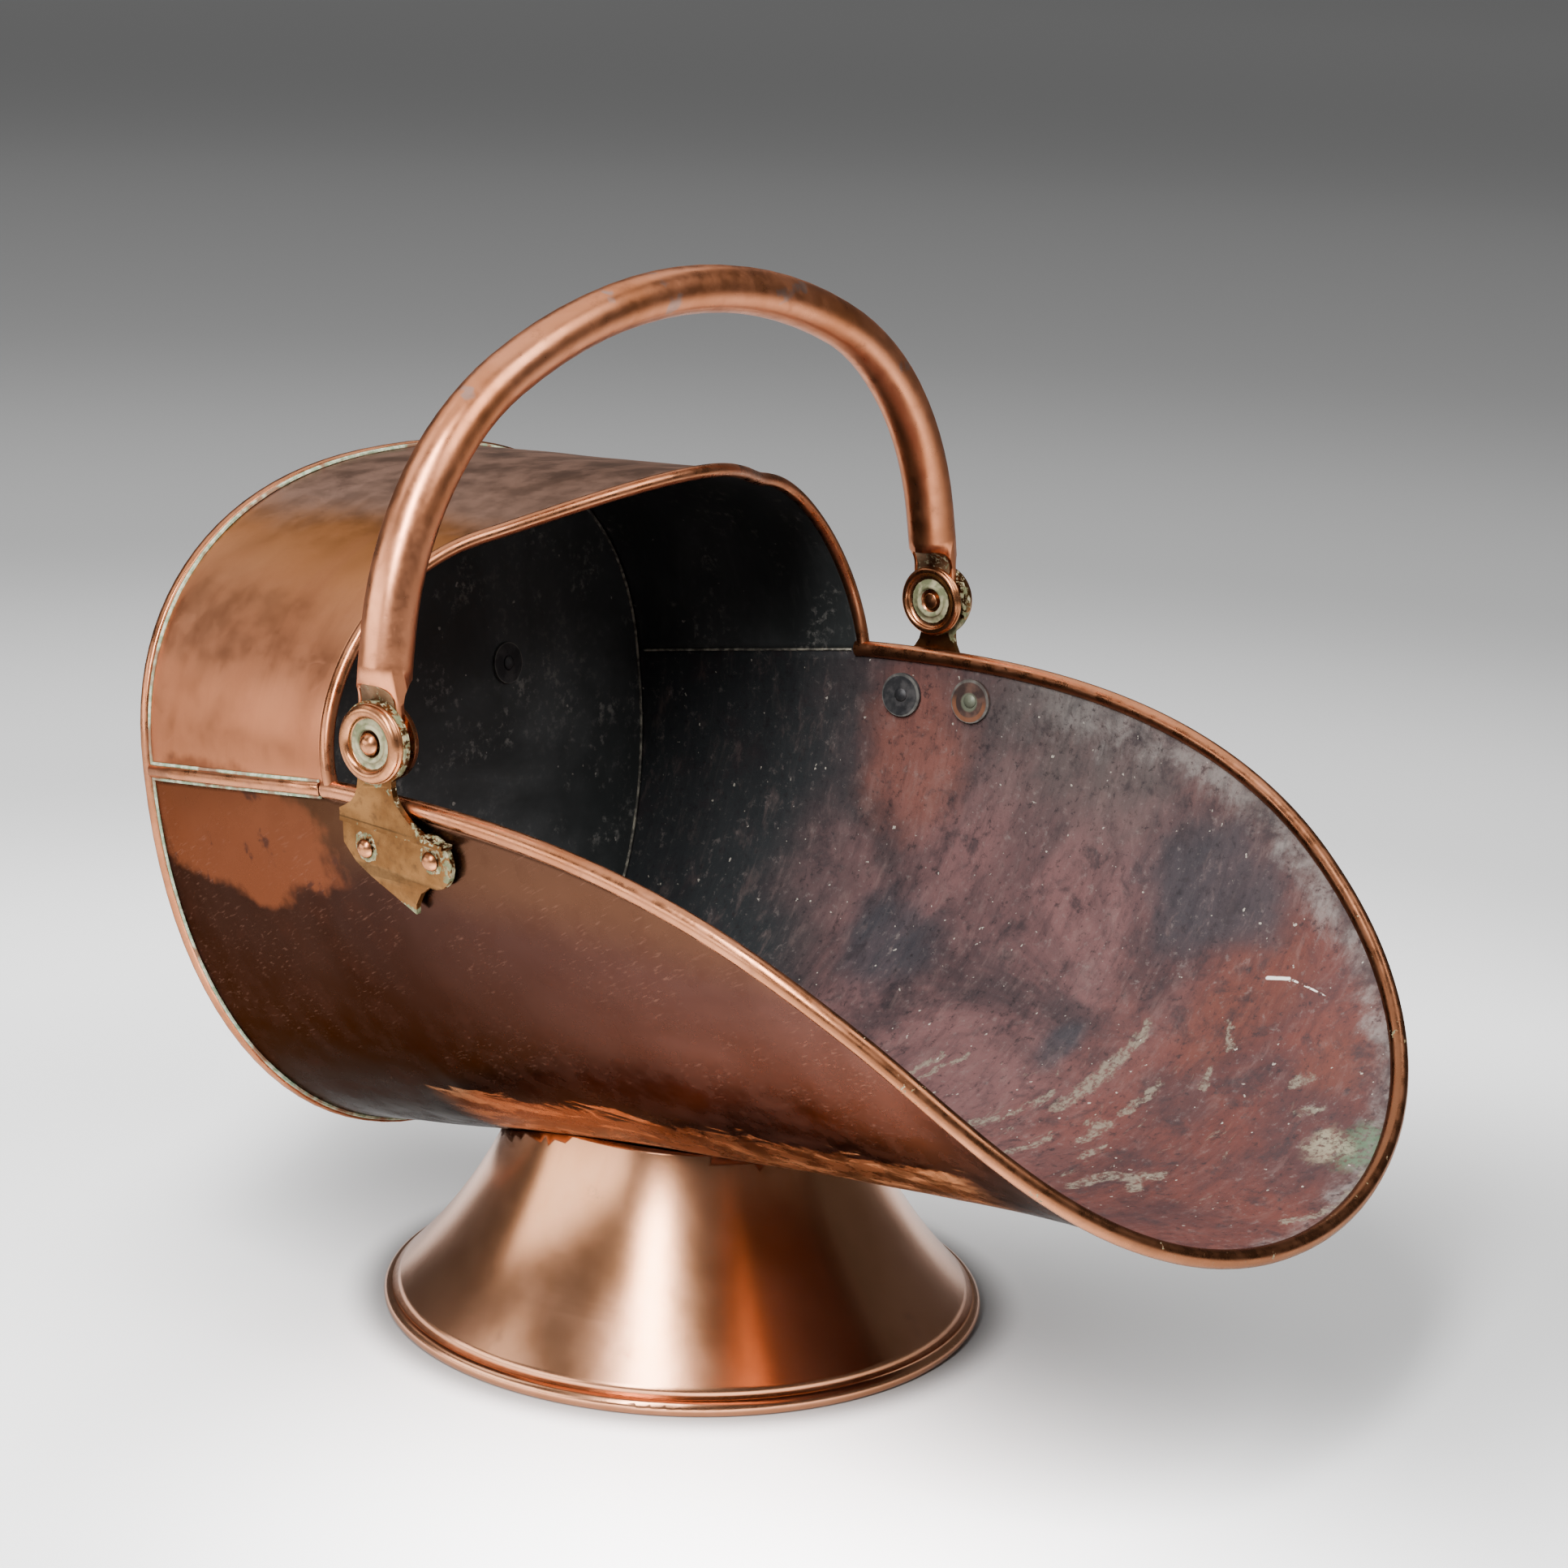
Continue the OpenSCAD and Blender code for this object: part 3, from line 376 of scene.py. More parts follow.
def make_verdigris_group():
    """Green and white crust in specks, laid over a colour."""
    b, given, result = new_group(
        "verdigris specks",
        [("Coords", "Vector", None), ("Base", "Color", (0.5, 0.3, 0.2, 1)), ("Amount", "Float", 0.3),
         ("Fineness", "Float", 700.0)],
        [("Color", "Color"), ("Mask", "Float")],
    )
    specks = b.noise(given["Coords"], given["Fineness"], 4, 0.65)
    fields = b.noise(given["Coords"], 60.0, 3)
    both = b.plus(b.times(specks, 0.65), b.times(fields, 0.35))
    edge = b.minus(0.78, b.times(given["Amount"], 0.4))
    mask = b.step(both, edge, b.plus(edge, 0.06))
    tint = b.noise(given["Coords"], 220.0, 2)
    crust = b.mix(b.step(tint, 0.4, 0.62), (0.14, 0.15, 0.075), (0.36, 0.33, 0.2))
    b.feed(result["Color"], b.mix(mask, given["Base"], crust))
    b.feed(result["Mask"], mask)
    return b.tree


def make_streak_group():
    """A ragged streak from one place along a way, in metres: 1 inside, 0 outside."""
    b, given, result = new_group(
        "ragged streak",
        [("Coords", "Vector", None), ("Start", "Vector", None), ("Way", "Vector", (0.01, 0, 0)),
         ("Width", "Float", 0.003), ("Ragged", "Float", 0.006), ("Grain", "Float", 150.0)],
        [("Mask", "Float")],
    )
    ruffle = b.noise(given["Coords"], given["Grain"], 4, 0.68, output=1)
    shift = b.vector("SCALE", b.vector("SUBTRACT", ruffle, (0.5, 0.5, 0.5)))
    b.feed(shift.node.inputs["Scale"], given["Ragged"])
    away = b.vector("SUBTRACT", b.vector("ADD", given["Coords"], shift), given["Start"])
    length = b.vector("DOT_PRODUCT", given["Way"], given["Way"], output=1)
    share = b.math("DIVIDE", b.vector("DOT_PRODUCT", away, given["Way"], output=1), length, True)
    nearest = b.vector("SCALE", given["Way"])
    b.feed(nearest.node.inputs["Scale"], share)
    distance = b.vector("LENGTH", b.vector("SUBTRACT", away, nearest), output=1)
    b.feed(result["Mask"], b.step(distance, b.times(given["Width"], 0.5), given["Width"], 1.0, 0.0))
    return b.tree


ragged_spot = make_patch_group()
ragged_streak = make_streak_group()
fine_scratches = make_scratch_group()
verdigris = make_verdigris_group()


class Finish(Board):
    """One material: a board whose last step is a Principled shader."""

    def __init__(self, name):
        self.material = bpy.data.materials.new(name)
        self.material.use_nodes = True
        super().__init__(self.material.node_tree)
        self.shader = self.tree.nodes["Principled BSDF"]
        self.coords = self.add("ShaderNodeTexCoord", "Object")

    def along(self, axis):
        """The place along one axis of the object."""
        return self.add("ShaderNodeSeparateXYZ", axis, {0: self.coords})

    def scratches(self, turn, along, sparse):
        return self.group(fine_scratches, "Mask", Coords=self.coords, Turn=turn, Across=1100.0,
                          Along=along, Sparse=sparse)

    def spot(self, centre, size, ragged=0.6, grain=30.0, soft=0.2):
        return self.group(ragged_spot, "Mask", Coords=self.coords, Centre=centre, Size=size,
                          Ragged=ragged, Grain=grain, Soft=soft)

    def streak(self, start, stop, width, ragged=0.0125, grain=120.0):
        start, stop = Vector(start) / 1000, Vector(stop) / 1000
        return self.group(ragged_streak, "Mask", Coords=self.coords, Start=start, Way=stop - start,
                          Width=width / 1000, Ragged=ragged, Grain=grain)

    def away_from(self, centre):
        """The distance from a point."""
        return self.vector("LENGTH", self.vector("SUBTRACT", self.coords, centre), output=1)

    def from_axis(self, y, z):
        """The distance from a line that runs along x."""
        flat = self.vector("MULTIPLY", self.vector("SUBTRACT", self.coords, (0, y, z)), (0, 1, 1))
        return self.vector("LENGTH", flat, output=1)

    def done(self, color, roughness, metallic=1.0, height=None, depth=0.0002, strength=0.5, edge_tint=None):
        for name, value in (("Base Color", color), ("Roughness", roughness), ("Metallic", metallic)):
            self.feed(self.shader.inputs[name], value)
        if edge_tint:
            self.shader.inputs["Specular Tint"].default_value = (*edge_tint, 1)
        if height is not None:
            given = {"Height": height, "Strength": strength, "Distance": depth}
            self.feed(self.shader.inputs["Normal"], self.add("ShaderNodeBump", inputs=given))
        return self.material


# The finishes' places are in metres from here on. The side seam's line on the sheet falls
# towards the back, and the upper edge of the foot's painted reflection on the belly towards the lip.
seam_fall, seam_low, seam_high = 0.155, 0.2345, 0.2385
reflection_fall, reflection_high, reflection_low = 0.13, 0.1265, 0.1245


def copper_sheet(name, hooded=True):
    """The sheet's outer finish; the back plate's has only a trace of the hood's colours."""
    b = Finish(name)
    x, y, z = (b.along(axis) for axis in "XYZ")
    cloud = b.noise(b.coords, 9, 5, 0.6, 0.4)
    fine = b.noise(b.coords, 70, 6, 0.62)
    mottle = b.step(cloud, 0.3, 0.7)
    # Purple brown on the belly; its darkening towards the back plate and the bottom is painted shade
    front = b.step(b.plus(y, b.times(cloud, 0.08)), 0.14, -0.03)
    dark = b.mix(mottle, (0.023, 0.0115, 0.009), (0.037, 0.019, 0.015))
    light = b.mix(mottle, (0.044, 0.019, 0.0145), (0.07, 0.032, 0.025))
    belly = b.mix(front, dark, light)
    # Painted shade: the belly's underside darker towards the bottom
    belly = b.mix(b.step(z, 0.165, 0.115, 0.0, 0.6), belly, (0.03, 0.015, 0.012))
    rusty = b.step(b.plus(z, b.times(cloud, 0.03)), 0.2, 0.225, 0.0, 0.5)
    belly = b.mix(rusty, belly, (0.1, 0.045, 0.022))
    # Orange brown on the hood, with a grey bloom over its crown; the brighter side is painted sheen over its
    # own orange, with painted shade low down
    hood = b.mix(mottle, (0.34, 0.14, 0.058), (0.44, 0.195, 0.09))
    hood = b.mix(b.step(z, 0.275, 0.3, 0.0, 0.6), hood, (0.34, 0.135, 0.045))
    # Brighter orange over the hood's side: the copper's own colour, lightened as a painted sheen
    hood_side_sheen = b.step(z, 0.3, 0.25)
    hood = b.mix(hood_side_sheen, hood, b.mix(mottle, (0.52, 0.2, 0.1), (0.62, 0.27, 0.145)))
    streaks = b.noise(b.squeeze(b.coords, (6, 90, 6)), 1.0, 4, 0.6)
    hood = b.mix(b.step(streaks, 0.5, 0.72, 0.0, 0.35), hood, (0.34, 0.13, 0.065))
    ragged = b.times(b.noise(b.coords, 30, 5, 0.6, 0.5), 0.034)
    bloom = b.step(b.plus(b.math("ABSOLUTE", x), ragged), 0.108, 0.076)
    hood = b.mix(bloom, hood, b.mix(mottle, (0.32, 0.19, 0.14), (0.41, 0.25, 0.19)))
    # Painted shade: a darker band low on the hood, towards the seam
    hood = b.mix(b.step(z, 0.262, 0.238, 0.0, 0.6), hood, (0.42, 0.15, 0.07))
    if hooded:
        above = b.step(b.plus(z, b.times(y, seam_fall)), seam_low, seam_high)
    else:
        above = b.step(b.plus(z, b.times(cloud, 0.3)), 0.3, 0.48, 0.0, 0.14)
    color = b.mix(above, belly, hood)
    wear = b.times(b.step(fine, 0.48, 0.75, 0.0, 0.3), b.minus(1.0, b.times(above, 0.7)))
    color = b.mix(wear, color, (0.05, 0.019, 0.013))
    # A bright rubbed patch with dark spots behind the lug, and a painted reflection of the foot round the
    # foot's joint
    spots = b.step(b.noise(b.coords, 60, 4, 0.6, 0.4), 0.58, 0.66)
    patch = b.spot((-0.141, 0.138, 0.195), (0.05, 0.056, 0.025), 1.15, 34, 0.12)
    rubbed = b.mix(spots, (0.165, 0.052, 0.025), (0.07, 0.028, 0.02))
    color = b.mix(b.times(patch, 0.7), color, rubbed)
    # Painted reflection: a bright ragged band of the lit foot as the belly would mirror it, round the joint
    ruffle = b.noise(b.squeeze(b.coords, (60, 26, 110)), 1.0, 5, 0.65, 0.8)
    line = b.plus(b.plus(z, b.times(y, reflection_fall)), b.times(ruffle, 0.03))
    foot_reflection = b.times(b.step(line, reflection_high, reflection_low), b.step(y, 0.085, 0.07))
    foot_reflection = b.times(foot_reflection, b.step(y, -0.165, -0.14))
    foot_reflection = b.times(foot_reflection, b.step(x, -0.06, -0.068))
    foot_reflection_colour = b.mix(b.step(ruffle, 0.44, 0.5), (0.8, 0.34, 0.15), (0.36, 0.13, 0.055))
    color = b.mix(b.times(foot_reflection, 0.9), color, foot_reflection_colour)
    # Scratches, and slow dents that are shallower above the seam
    lines = b.scratches((0.6, 0, 0), 9.0, 0.58)
    color = b.mix(b.times(lines, 0.1), color, (0.4, 0.2, 0.14))
    rough = b.plus(b.step(fine, 0.3, 0.75, 0.2, 0.36), b.times(lines, 0.06))
    rough = b.plus(rough, b.times(above, 0.1))
    deep = b.minus(4.0, b.times(above, 3.2))
    dents = b.plus(b.times(b.noise(b.coords, 14, 2, 0.4), deep), b.times(b.noise(b.coords, 55, 2), 0.15))
    height = b.plus(dents, b.times(lines, -0.02))
    return b.done(color, rough, 1.0, height, 0.0004, 0.5, (0.44, 0.43, 0.42))


# Cream smears in the lip: start, stop and width, in millimetres here
smears = (
    ((53, -91, 95.6), (66, -96, 101), 3.6), ((64, -95, 100), (80, -99, 109), 4.4),
    ((80, -99, 109), (97, -101, 120), 3.0), ((22, -66, 88), (58, -83, 96.6), 2.2),
    ((34, -65, 87.3), (40, -72, 89), 2.6), ((56, -25, 89), (72, -36, 97.5), 1.8),
    ((57, -17, 88.4), (70, -26, 95), 1.8), ((36, -113, 93), (48, -116, 96), 3.0),
    ((56, -118, 100), (72, -121.5, 106.5), 2.4), ((-1, -133, 90.7), (12, -137, 91.5), 3.4),
    ((12, -137, 91.5), (22, -155, 94), 4.2), ((20, -150, 93), (8, -153, 92), 3.4),
    ((17, -93, 87.8), (34, -101, 91), 2.2), ((25, -120, 91.4), (36, -124, 94), 2.2),
    ((92, -138, 120), (101, -134, 126.4), 1.9), ((74, -138.5, 109.5), (82, -136, 113), 1.9),
    ((83, -170, 116.4), (87, -175, 119), 2.3), ((72, -181, 111), (76, -187, 113.5), 2.6),
    ((5, -213, 97.5), (30, -224, 99), 2.0), ((30, -224, 99), (52, -222, 104), 3.0),
)

# Red and blue-black spots inside: centre and size in metres
bare_spots = (
    ((0.118, -0.135, 0.142), (0.03, 0.022, 0.02)),
    ((0.098, -0.128, 0.124), (0.02, 0.014, 0.018)),
    ((0.093, -0.182, 0.122), (0.016, 0.013, 0.014)),
)
dark_spots = (
    ((0.137, -0.1, 0.164), (0.034, 0.034, 0.026)),
    ((0.112, 0.03, 0.118), (0.024, 0.022, 0.02)),
    ((0.082, -0.07, 0.107), (0.012, 0.008, 0.012)),
)


def inner_patina():
    b = Finish("sooty patina inside")
    y, z = (b.along(axis) for axis in "YZ")
    cloud = b.noise(b.coords, 7, 6, 0.62, 0.5)
    cloud_b = b.noise(b.vector("ADD", b.coords, (0.37, 0.11, 0.05)), 12, 6, 0.66, 0.8)
    mid = b.noise(b.coords, 55, 6, 0.7, 0.3)
    grain = b.noise(b.coords, 260, 5, 0.75)
    fibres = b.noise(b.squeeze(b.coords, (40, 420, 40)), 1.0, 5, 0.7)
    # Soot at the back, purple in the middle, red brown in the lip
    depth = b.plus(y, b.times(b.minus(cloud, 0.5), 0.16))
    purple = b.mix(b.step(cloud_b, 0.38, 0.62), (0.066, 0.043, 0.045), (0.18, 0.088, 0.085))
    red = b.mix(b.step(cloud_b, 0.36, 0.62), (0.085, 0.035, 0.034), (0.15, 0.046, 0.036))
    color = b.mix(b.step(depth, 0.0, 0.11), purple, (0.03, 0.033, 0.035))
    color = b.mix(b.step(depth, -0.05, -0.14), color, red)
    worn = b.times(b.step(z, 0.15, 0.2), b.step(depth, 0.06, 0.0))
    color = b.mix(b.times(worn, b.step(cloud, 0.35, 0.62, 0.2, 0.9)), color, (0.105, 0.088, 0.083))
    rusty = b.spot((0.15, 0.048, 0.185), (0.03, 0.022, 0.032), 1.5, 30, 0.5)
    color = b.mix(b.times(rusty, 0.8), color, (0.23, 0.085, 0.065))
    for centre, size in bare_spots:
        color = b.mix(b.times(b.spot(centre, size, 1.0, 45, 0.45), 0.42), color, (0.17, 0.052, 0.034))
    for centre, size in dark_spots:
        color = b.mix(b.times(b.spot(centre, size, 1.3, 34, 0.45), 0.72), color, (0.042, 0.046, 0.054))
    # Grey scale along the rim, whose line falls away with the square of the reach
    reach = b.most(b.minus(b.times(y, -1.0), 0.04), 0.0)
    below = b.plus(z, b.times(b.times(reach, reach), 3.25))
    ragged = b.plus(b.times(mid, 0.03), b.times(fibres, 0.012))
    rim = b.step(b.plus(below, ragged), 0.219, 0.231)
    scale = b.times(b.times(rim, b.step(y, 0.03, -0.05)), b.step(grain, 0.3, 0.55, 0.35, 1.0))
    scale_grey = b.mix(b.step(mid, 0.4, 0.62), (0.11, 0.1, 0.094), (0.29, 0.27, 0.25))
    color = b.mix(b.times(scale, 0.6), color, scale_grey)
    # Fibres, dust and pits
    color = b.mix(b.step(fibres, 0.52, 0.7, 0.0, 0.18), color, b.mix(0.5, color, (0.2, 0.15, 0.14)))
    color = b.mix(b.step(fibres, 0.46, 0.32, 0.0, 0.25), color, (0.03, 0.024, 0.026))
    color = b.mix(b.step(grain, 0.56, 0.72, 0.0, 0.4), color, (0.28, 0.23, 0.21))
    color = b.mix(b.step(grain, 0.45, 0.32, 0.0, 0.7), color, (0.022, 0.018, 0.02))
    color = b.mix(b.step(mid, 0.48, 0.32, 0.0, 0.7), color, (0.035, 0.027, 0.03))
    mottle = b.noise(b.squeeze(b.coords, (60, 130, 60)), 1.0, 6, 0.72, 0.4)
    color = b.mix(b.step(mottle, 0.5, 0.34, 0.0, 0.55), color, b.mix(0.6, color, (0.02, 0.018, 0.022)))
    color = b.mix(b.step(mottle, 0.52, 0.7, 0.0, 0.4), color, b.mix(0.5, color, (0.3, 0.2, 0.18)))
    # Cream smears low in the lip, a chalky and a green patch near its tip, and pale specks
    grains = b.step(b.noise(b.coords, 380, 5, 0.75), 0.4, 0.56, 0.12, 1.0)
    streaks = 0.0
    for start, stop, width in smears:
        streaks = b.most(streaks, b.streak(start, stop, 1.2 * width))
    turned = b.squeeze(b.coords, (50, 150, 90), (0.3, 0.25, -0.5))
    loose = b.step(b.noise(turned, 1.0, 6, 0.7, 0.9), 0.6, 0.68)
    field = b.spot((0.04, -0.115, 0.096), (0.05, 0.07, 0.03), 0.8, 20, 0.35)
    streaks = b.most(streaks, b.times(loose, field))
    smear = b.times(streaks, grains)
    color = b.mix(b.times(smear, 0.75), color, (0.25, 0.215, 0.16))
    chalk = b.spot((0.0605, -0.2, 0.1065), (0.0085, 0.008, 0.009), 1.5, 110, 0.45)
    green = b.spot((0.064, -0.211, 0.108), (0.012, 0.009, 0.012), 1.4, 100, 0.45)
    color = b.mix(b.times(b.times(green, grains), 0.8), color, (0.1, 0.17, 0.1))
    color = b.mix(b.times(b.times(chalk, grains), 0.85), color, (0.31, 0.27, 0.185))
    specks = b.step(b.noise(b.coords, 330, 2, 0.5), 0.72, 0.76)
    color = b.mix(b.times(specks, 0.8), color, (0.55, 0.5, 0.42))
    color = b.mix(0.16, color, (0.0, 0.0, 0.0))
    # A scratch to the bare metal, broken up towards its end
    bend = (117.6, -147, 143)
    broken = b.times(b.streak(bend, (113, -176, 140), 0.45, 0.0012), b.step(grain, 0.44, 0.5))
    nick = b.most(b.streak((116.8, -138.5, 141.6), bend, 1.0, 0.0008), broken)
    color = b.mix(nick, color, (0.85, 0.8, 0.72))
    crust = b.most(b.most(smear, b.most(green, chalk)), b.times(scale, 0.6))
    rough = b.blend(crust, b.step(cloud_b, 0.3, 0.7, 0.42, 0.58), 0.85)
    metal = b.blend(crust, b.step(cloud, 0.3, 0.7, 0.1, 0.3), 0.0)
    b.shader.inputs["Specular IOR Level"].default_value = 0.25
    height = b.plus(mid, b.plus(b.times(fibres, 0.12), b.times(grain, 0.4)))
    height = b.plus(height, b.times(crust, 0.4))
    return b.done(color, rough, metal, height, 0.0005, 0.7)


def soot():
    b = Finish("soot under the hood")
    cloud = b.noise(b.coords, 10, 6, 0.62, 0.6)
    grain = b.noise(b.coords, 300, 4, 0.7)
    color = b.mix(b.step(cloud, 0.35, 0.7), (0.028, 0.031, 0.031), (0.075, 0.079, 0.08))
    fibres = b.noise(b.squeeze(b.coords, (60, 300, 60)), 1.0, 5, 0.7)
    color = b.mix(b.step(fibres, 0.5, 0.75, 0.0, 0.3), color, (0.085, 0.085, 0.082))
    blotches = b.step(b.noise(b.coords, 42, 5, 0.7), 0.5, 0.66)
    dust = b.times(b.step(grain, 0.5, 0.66), b.most(b.step(cloud, 0.46, 0.7, 0.0, 0.7), blotches))
    color = b.mix(b.times(dust, 0.7), color, (0.25, 0.24, 0.22))
    specks = b.step(b.noise(b.coords, 260, 2, 0.5), 0.74, 0.77)
    color = b.mix(specks, color, (0.3, 0.28, 0.25))
    height = b.plus(b.noise(b.coords, 45, 4), b.times(grain, 0.3))
    return b.done(color, b.step(cloud, 0.3, 0.7, 0.36, 0.55), 0.3, height, 0.0004, 0.5)


def foot_copper():
    b = Finish("spun copper foot")
    cloud = b.noise(b.coords, 12, 5, 0.6, 0.3)
    color = b.mix(b.step(cloud, 0.3, 0.7), (0.5, 0.23, 0.115), (0.63, 0.31, 0.18))
    rings = b.noise(b.squeeze(b.coords, (2, 2, 2600)), 1.0, 3, 0.6)
    upright = b.noise(b.squeeze(b.coords, (160, 160, 14)), 1.0, 4, 0.6)
    color = b.mix(b.step(upright, 0.45, 0.7, 0.0, 0.2), color, (0.42, 0.17, 0.07))
    # Painted shade under the belly darkens the foot's top; random grime spots go over the rest
    high = b.step(b.along("Z"), 0.068, 0.1)
    shade_and_grime = b.plus(high, b.step(b.noise(b.coords, 60, 5, 0.65), 0.6, 0.75, 0.0, 0.25))
    color = b.mix(b.math("MULTIPLY", shade_and_grime, 0.92, True), color, (0.06, 0.021, 0.01))
    rough = b.plus(b.step(cloud, 0.3, 0.7, 0.18, 0.24), b.times(rings, 0.05))
    height = b.plus(b.times(rings, 0.012), b.times(b.noise(b.coords, 18, 2), 1.2))
    return b.done(color, rough, 1.0, height, 0.0004, 0.5)


def handle_copper():
    b = Finish("handled copper tube")
    cloud = b.noise(b.coords, 16, 5, 0.6, 0.5)
    fine = b.noise(b.coords, 120, 5, 0.65)
    color = b.mix(b.step(cloud, 0.32, 0.66), (0.5, 0.178, 0.075), (0.66, 0.26, 0.132))
    color = b.mix(b.times(b.step(fine, 0.55, 0.75), 0.45), color, (0.25, 0.1, 0.05))
    blue = b.times(b.step(b.noise(b.coords, 48, 3), 0.66, 0.71), 0.5)
    color = b.mix(blue, color, (0.32, 0.3, 0.29))
    lines = b.scratches((0, 0.4, 0), 60.0, 0.6)
    rough = b.plus(b.step(fine, 0.3, 0.75, 0.27, 0.4), b.times(lines, 0.1))
    height = b.plus(b.times(b.noise(b.coords, 60, 3), 1.0), b.times(fine, 0.15))
    return b.done(color, rough, 1.0, height, 0.0003, 0.4, (0.75, 0.7, 0.68))


# Places in the side view, y and z in metres: the bail's pivot, the lug's studs and its ledge
pivot = (0.0508, 0.2466)
studs = ((0.060, 0.2068), (0.0276, 0.2096))
ledge_z = 0.2154
worn_edge = (0.75, 0.7, 0.66)


def crusted(b, color, amount, fineness, rough, height, edge_tint, depth=0.0003, strength=0.5):
    """Finishes a metal with verdigris over it; amount may be a field."""
    given = {"Coords": b.coords, "Base": color, "Amount": amount, "Fineness": fineness}
    over, mask = b.group(verdigris, "Color", **given), b.group(verdigris, "Mask", **given)
    rough, metallic = b.blend(mask, rough, 0.85), b.blend(mask, 1.0, 0.05)
    return b.done(over, rough, metallic, b.plus(height, b.times(mask, 0.35)), depth, strength, edge_tint)


def edge_copper():
    b = Finish("rolled copper edge")
    cloud = b.noise(b.coords, 25, 5, 0.6)
    fine = b.noise(b.coords, 150, 5, 0.65)
    color = b.mix(b.step(cloud, 0.3, 0.7), (0.36, 0.13, 0.055), (0.54, 0.22, 0.11))
    color = b.mix(b.times(b.step(fine, 0.5, 0.75), 0.5), color, (0.2, 0.1, 0.07))
    lip = b.step(b.plus(b.along("Y"), b.times(cloud, 0.08)), -0.02, -0.13)
    color = b.mix(b.times(lip, 0.75), color, (0.12, 0.048, 0.023))
    amount = b.plus(b.times(lip, 0.12), 0.3)
    rough = b.step(fine, 0.3, 0.75, 0.22, 0.42)
    return crusted(b, color, amount, 520.0, rough, b.noise(b.coords, 90, 3), worn_edge)


def boss_copper():
    b = Finish("turned copper boss")
    fine = b.noise(b.coords, 220, 5, 0.6)
    color = b.mix(b.step(fine, 0.35, 0.7), (0.46, 0.19, 0.085), (0.3, 0.125, 0.06))
    r = b.from_axis(*pivot)
    flat = b.times(b.step(r, 0.0042, 0.005), b.step(r, 0.0092, 0.0084))
    rim = b.step(r, 0.0126, 0.0142, 0.0, 0.35)
    near_stud = [b.step(b.from_axis(y, z), 0.0034, 0.0046, 0.0, 0.5) for y, z in studs]
    amount = b.plus(b.most(flat, b.times(rim, b.step(r, 0.02, 0.018))), 0.12)
    amount = b.most(amount, b.times(b.least(*near_stud), b.step(r, 0.025, 0.03)))
    color = b.mix(b.times(flat, 0.8), color, (0.17, 0.12, 0.07))
    rough = b.step(fine, 0.3, 0.7, 0.22, 0.36)
    return crusted(b, color, amount, 520.0, rough, fine, worn_edge, 0.0002, 0.3)


def tongue_copper():
    b = Finish("flattened end of the tube")
    fine = b.noise(b.coords, 200, 5, 0.65)
    color = b.mix(b.step(fine, 0.35, 0.7), (0.44, 0.165, 0.075), (0.28, 0.11, 0.055))
    r = b.from_axis(*pivot)
    ring = b.step(b.plus(r, b.times(fine, 0.01)), 0.035, 0.026)
    color = b.mix(b.times(ring, 0.75), color, (0.085, 0.07, 0.04))
    amount = b.plus(b.times(ring, 0.5), 0.1)
    return crusted(b, color, amount, 560.0, b.step(fine, 0.3, 0.7, 0.3, 0.5), fine, worn_edge)


def lug_bronze():
    b = Finish("cast lug")
    y, z = (b.along(axis) for axis in "YZ")
    cloud = b.noise(b.coords, 60, 5, 0.6)
    fine = b.noise(b.coords, 320, 5, 0.65)
    color = b.mix(b.step(cloud, 0.35, 0.65), (0.13, 0.056, 0.019), (0.22, 0.105, 0.038))
    color = b.mix(b.step(fine, 0.5, 0.74, 0.0, 0.6), color, (0.07, 0.036, 0.018))
    # Crust round the rivets, along the ledge, under the boss and down the front edges
    wobble = b.times(b.minus(cloud, 0.5), 0.01)
    amount = b.step(b.math("ABSOLUTE", b.minus(b.plus(z, wobble), ledge_z)), 0.0022, 0.0004, 0.08, 0.6)
    for stud in studs:
        ring = b.plus(b.from_axis(*stud), wobble)
        amount = b.most(amount, b.step(ring, 0.0062, 0.0046, 0.0, 0.85))
    slope = b.minus(b.plus(y, wobble), b.times(z, 0.944))
    saddle_front = b.times(b.step(slope, -0.1725, -0.1755), b.step(z, ledge_z, ledge_z + 0.001))
    shield_front = b.times(b.step(b.plus(y, wobble), 0.0245, 0.021), b.step(z, ledge_z, ledge_z - 0.001))
    under_boss = b.step(b.plus(b.from_axis(*pivot), wobble), 0.0165, 0.0145)
    for field in (saddle_front, shield_front, under_boss):
        amount = b.most(amount, b.times(field, 0.8))
    point = b.step(b.plus(z, wobble), 0.1925, 0.1895, 0.0, 0.9)
    amount = b.most(amount, point)
    rough, height = b.step(fine, 0.3, 0.7, 0.26, 0.42), b.plus(cloud, b.times(fine, 0.25))
    return crusted(b, color, amount, 460.0, rough, height, (0.75, 0.7, 0.6))


def joint_crust():
    b = Finish("verdigris in the joints")
    fine = b.noise(b.coords, 380, 5, 0.65)
    field = b.noise(b.coords, 70, 3)
    color = b.mix(b.step(fine, 0.4, 0.62), (0.2, 0.29, 0.18), (0.48, 0.52, 0.38))
    color = b.mix(b.step(field, 0.5, 0.62), color, (0.2, 0.11, 0.06))
    return b.done(color, 0.85, 0.0, fine, 0.0003, 0.8)


def pale_solder():
    b = Finish("pale line in the joints inside")
    fine = b.noise(b.coords, 300, 4, 0.6)
    color = b.mix(b.step(fine, 0.4, 0.65), (0.07, 0.065, 0.055), (0.3, 0.28, 0.22))
    return b.done(color, 0.8, 0.0, fine, 0.0002, 0.6)


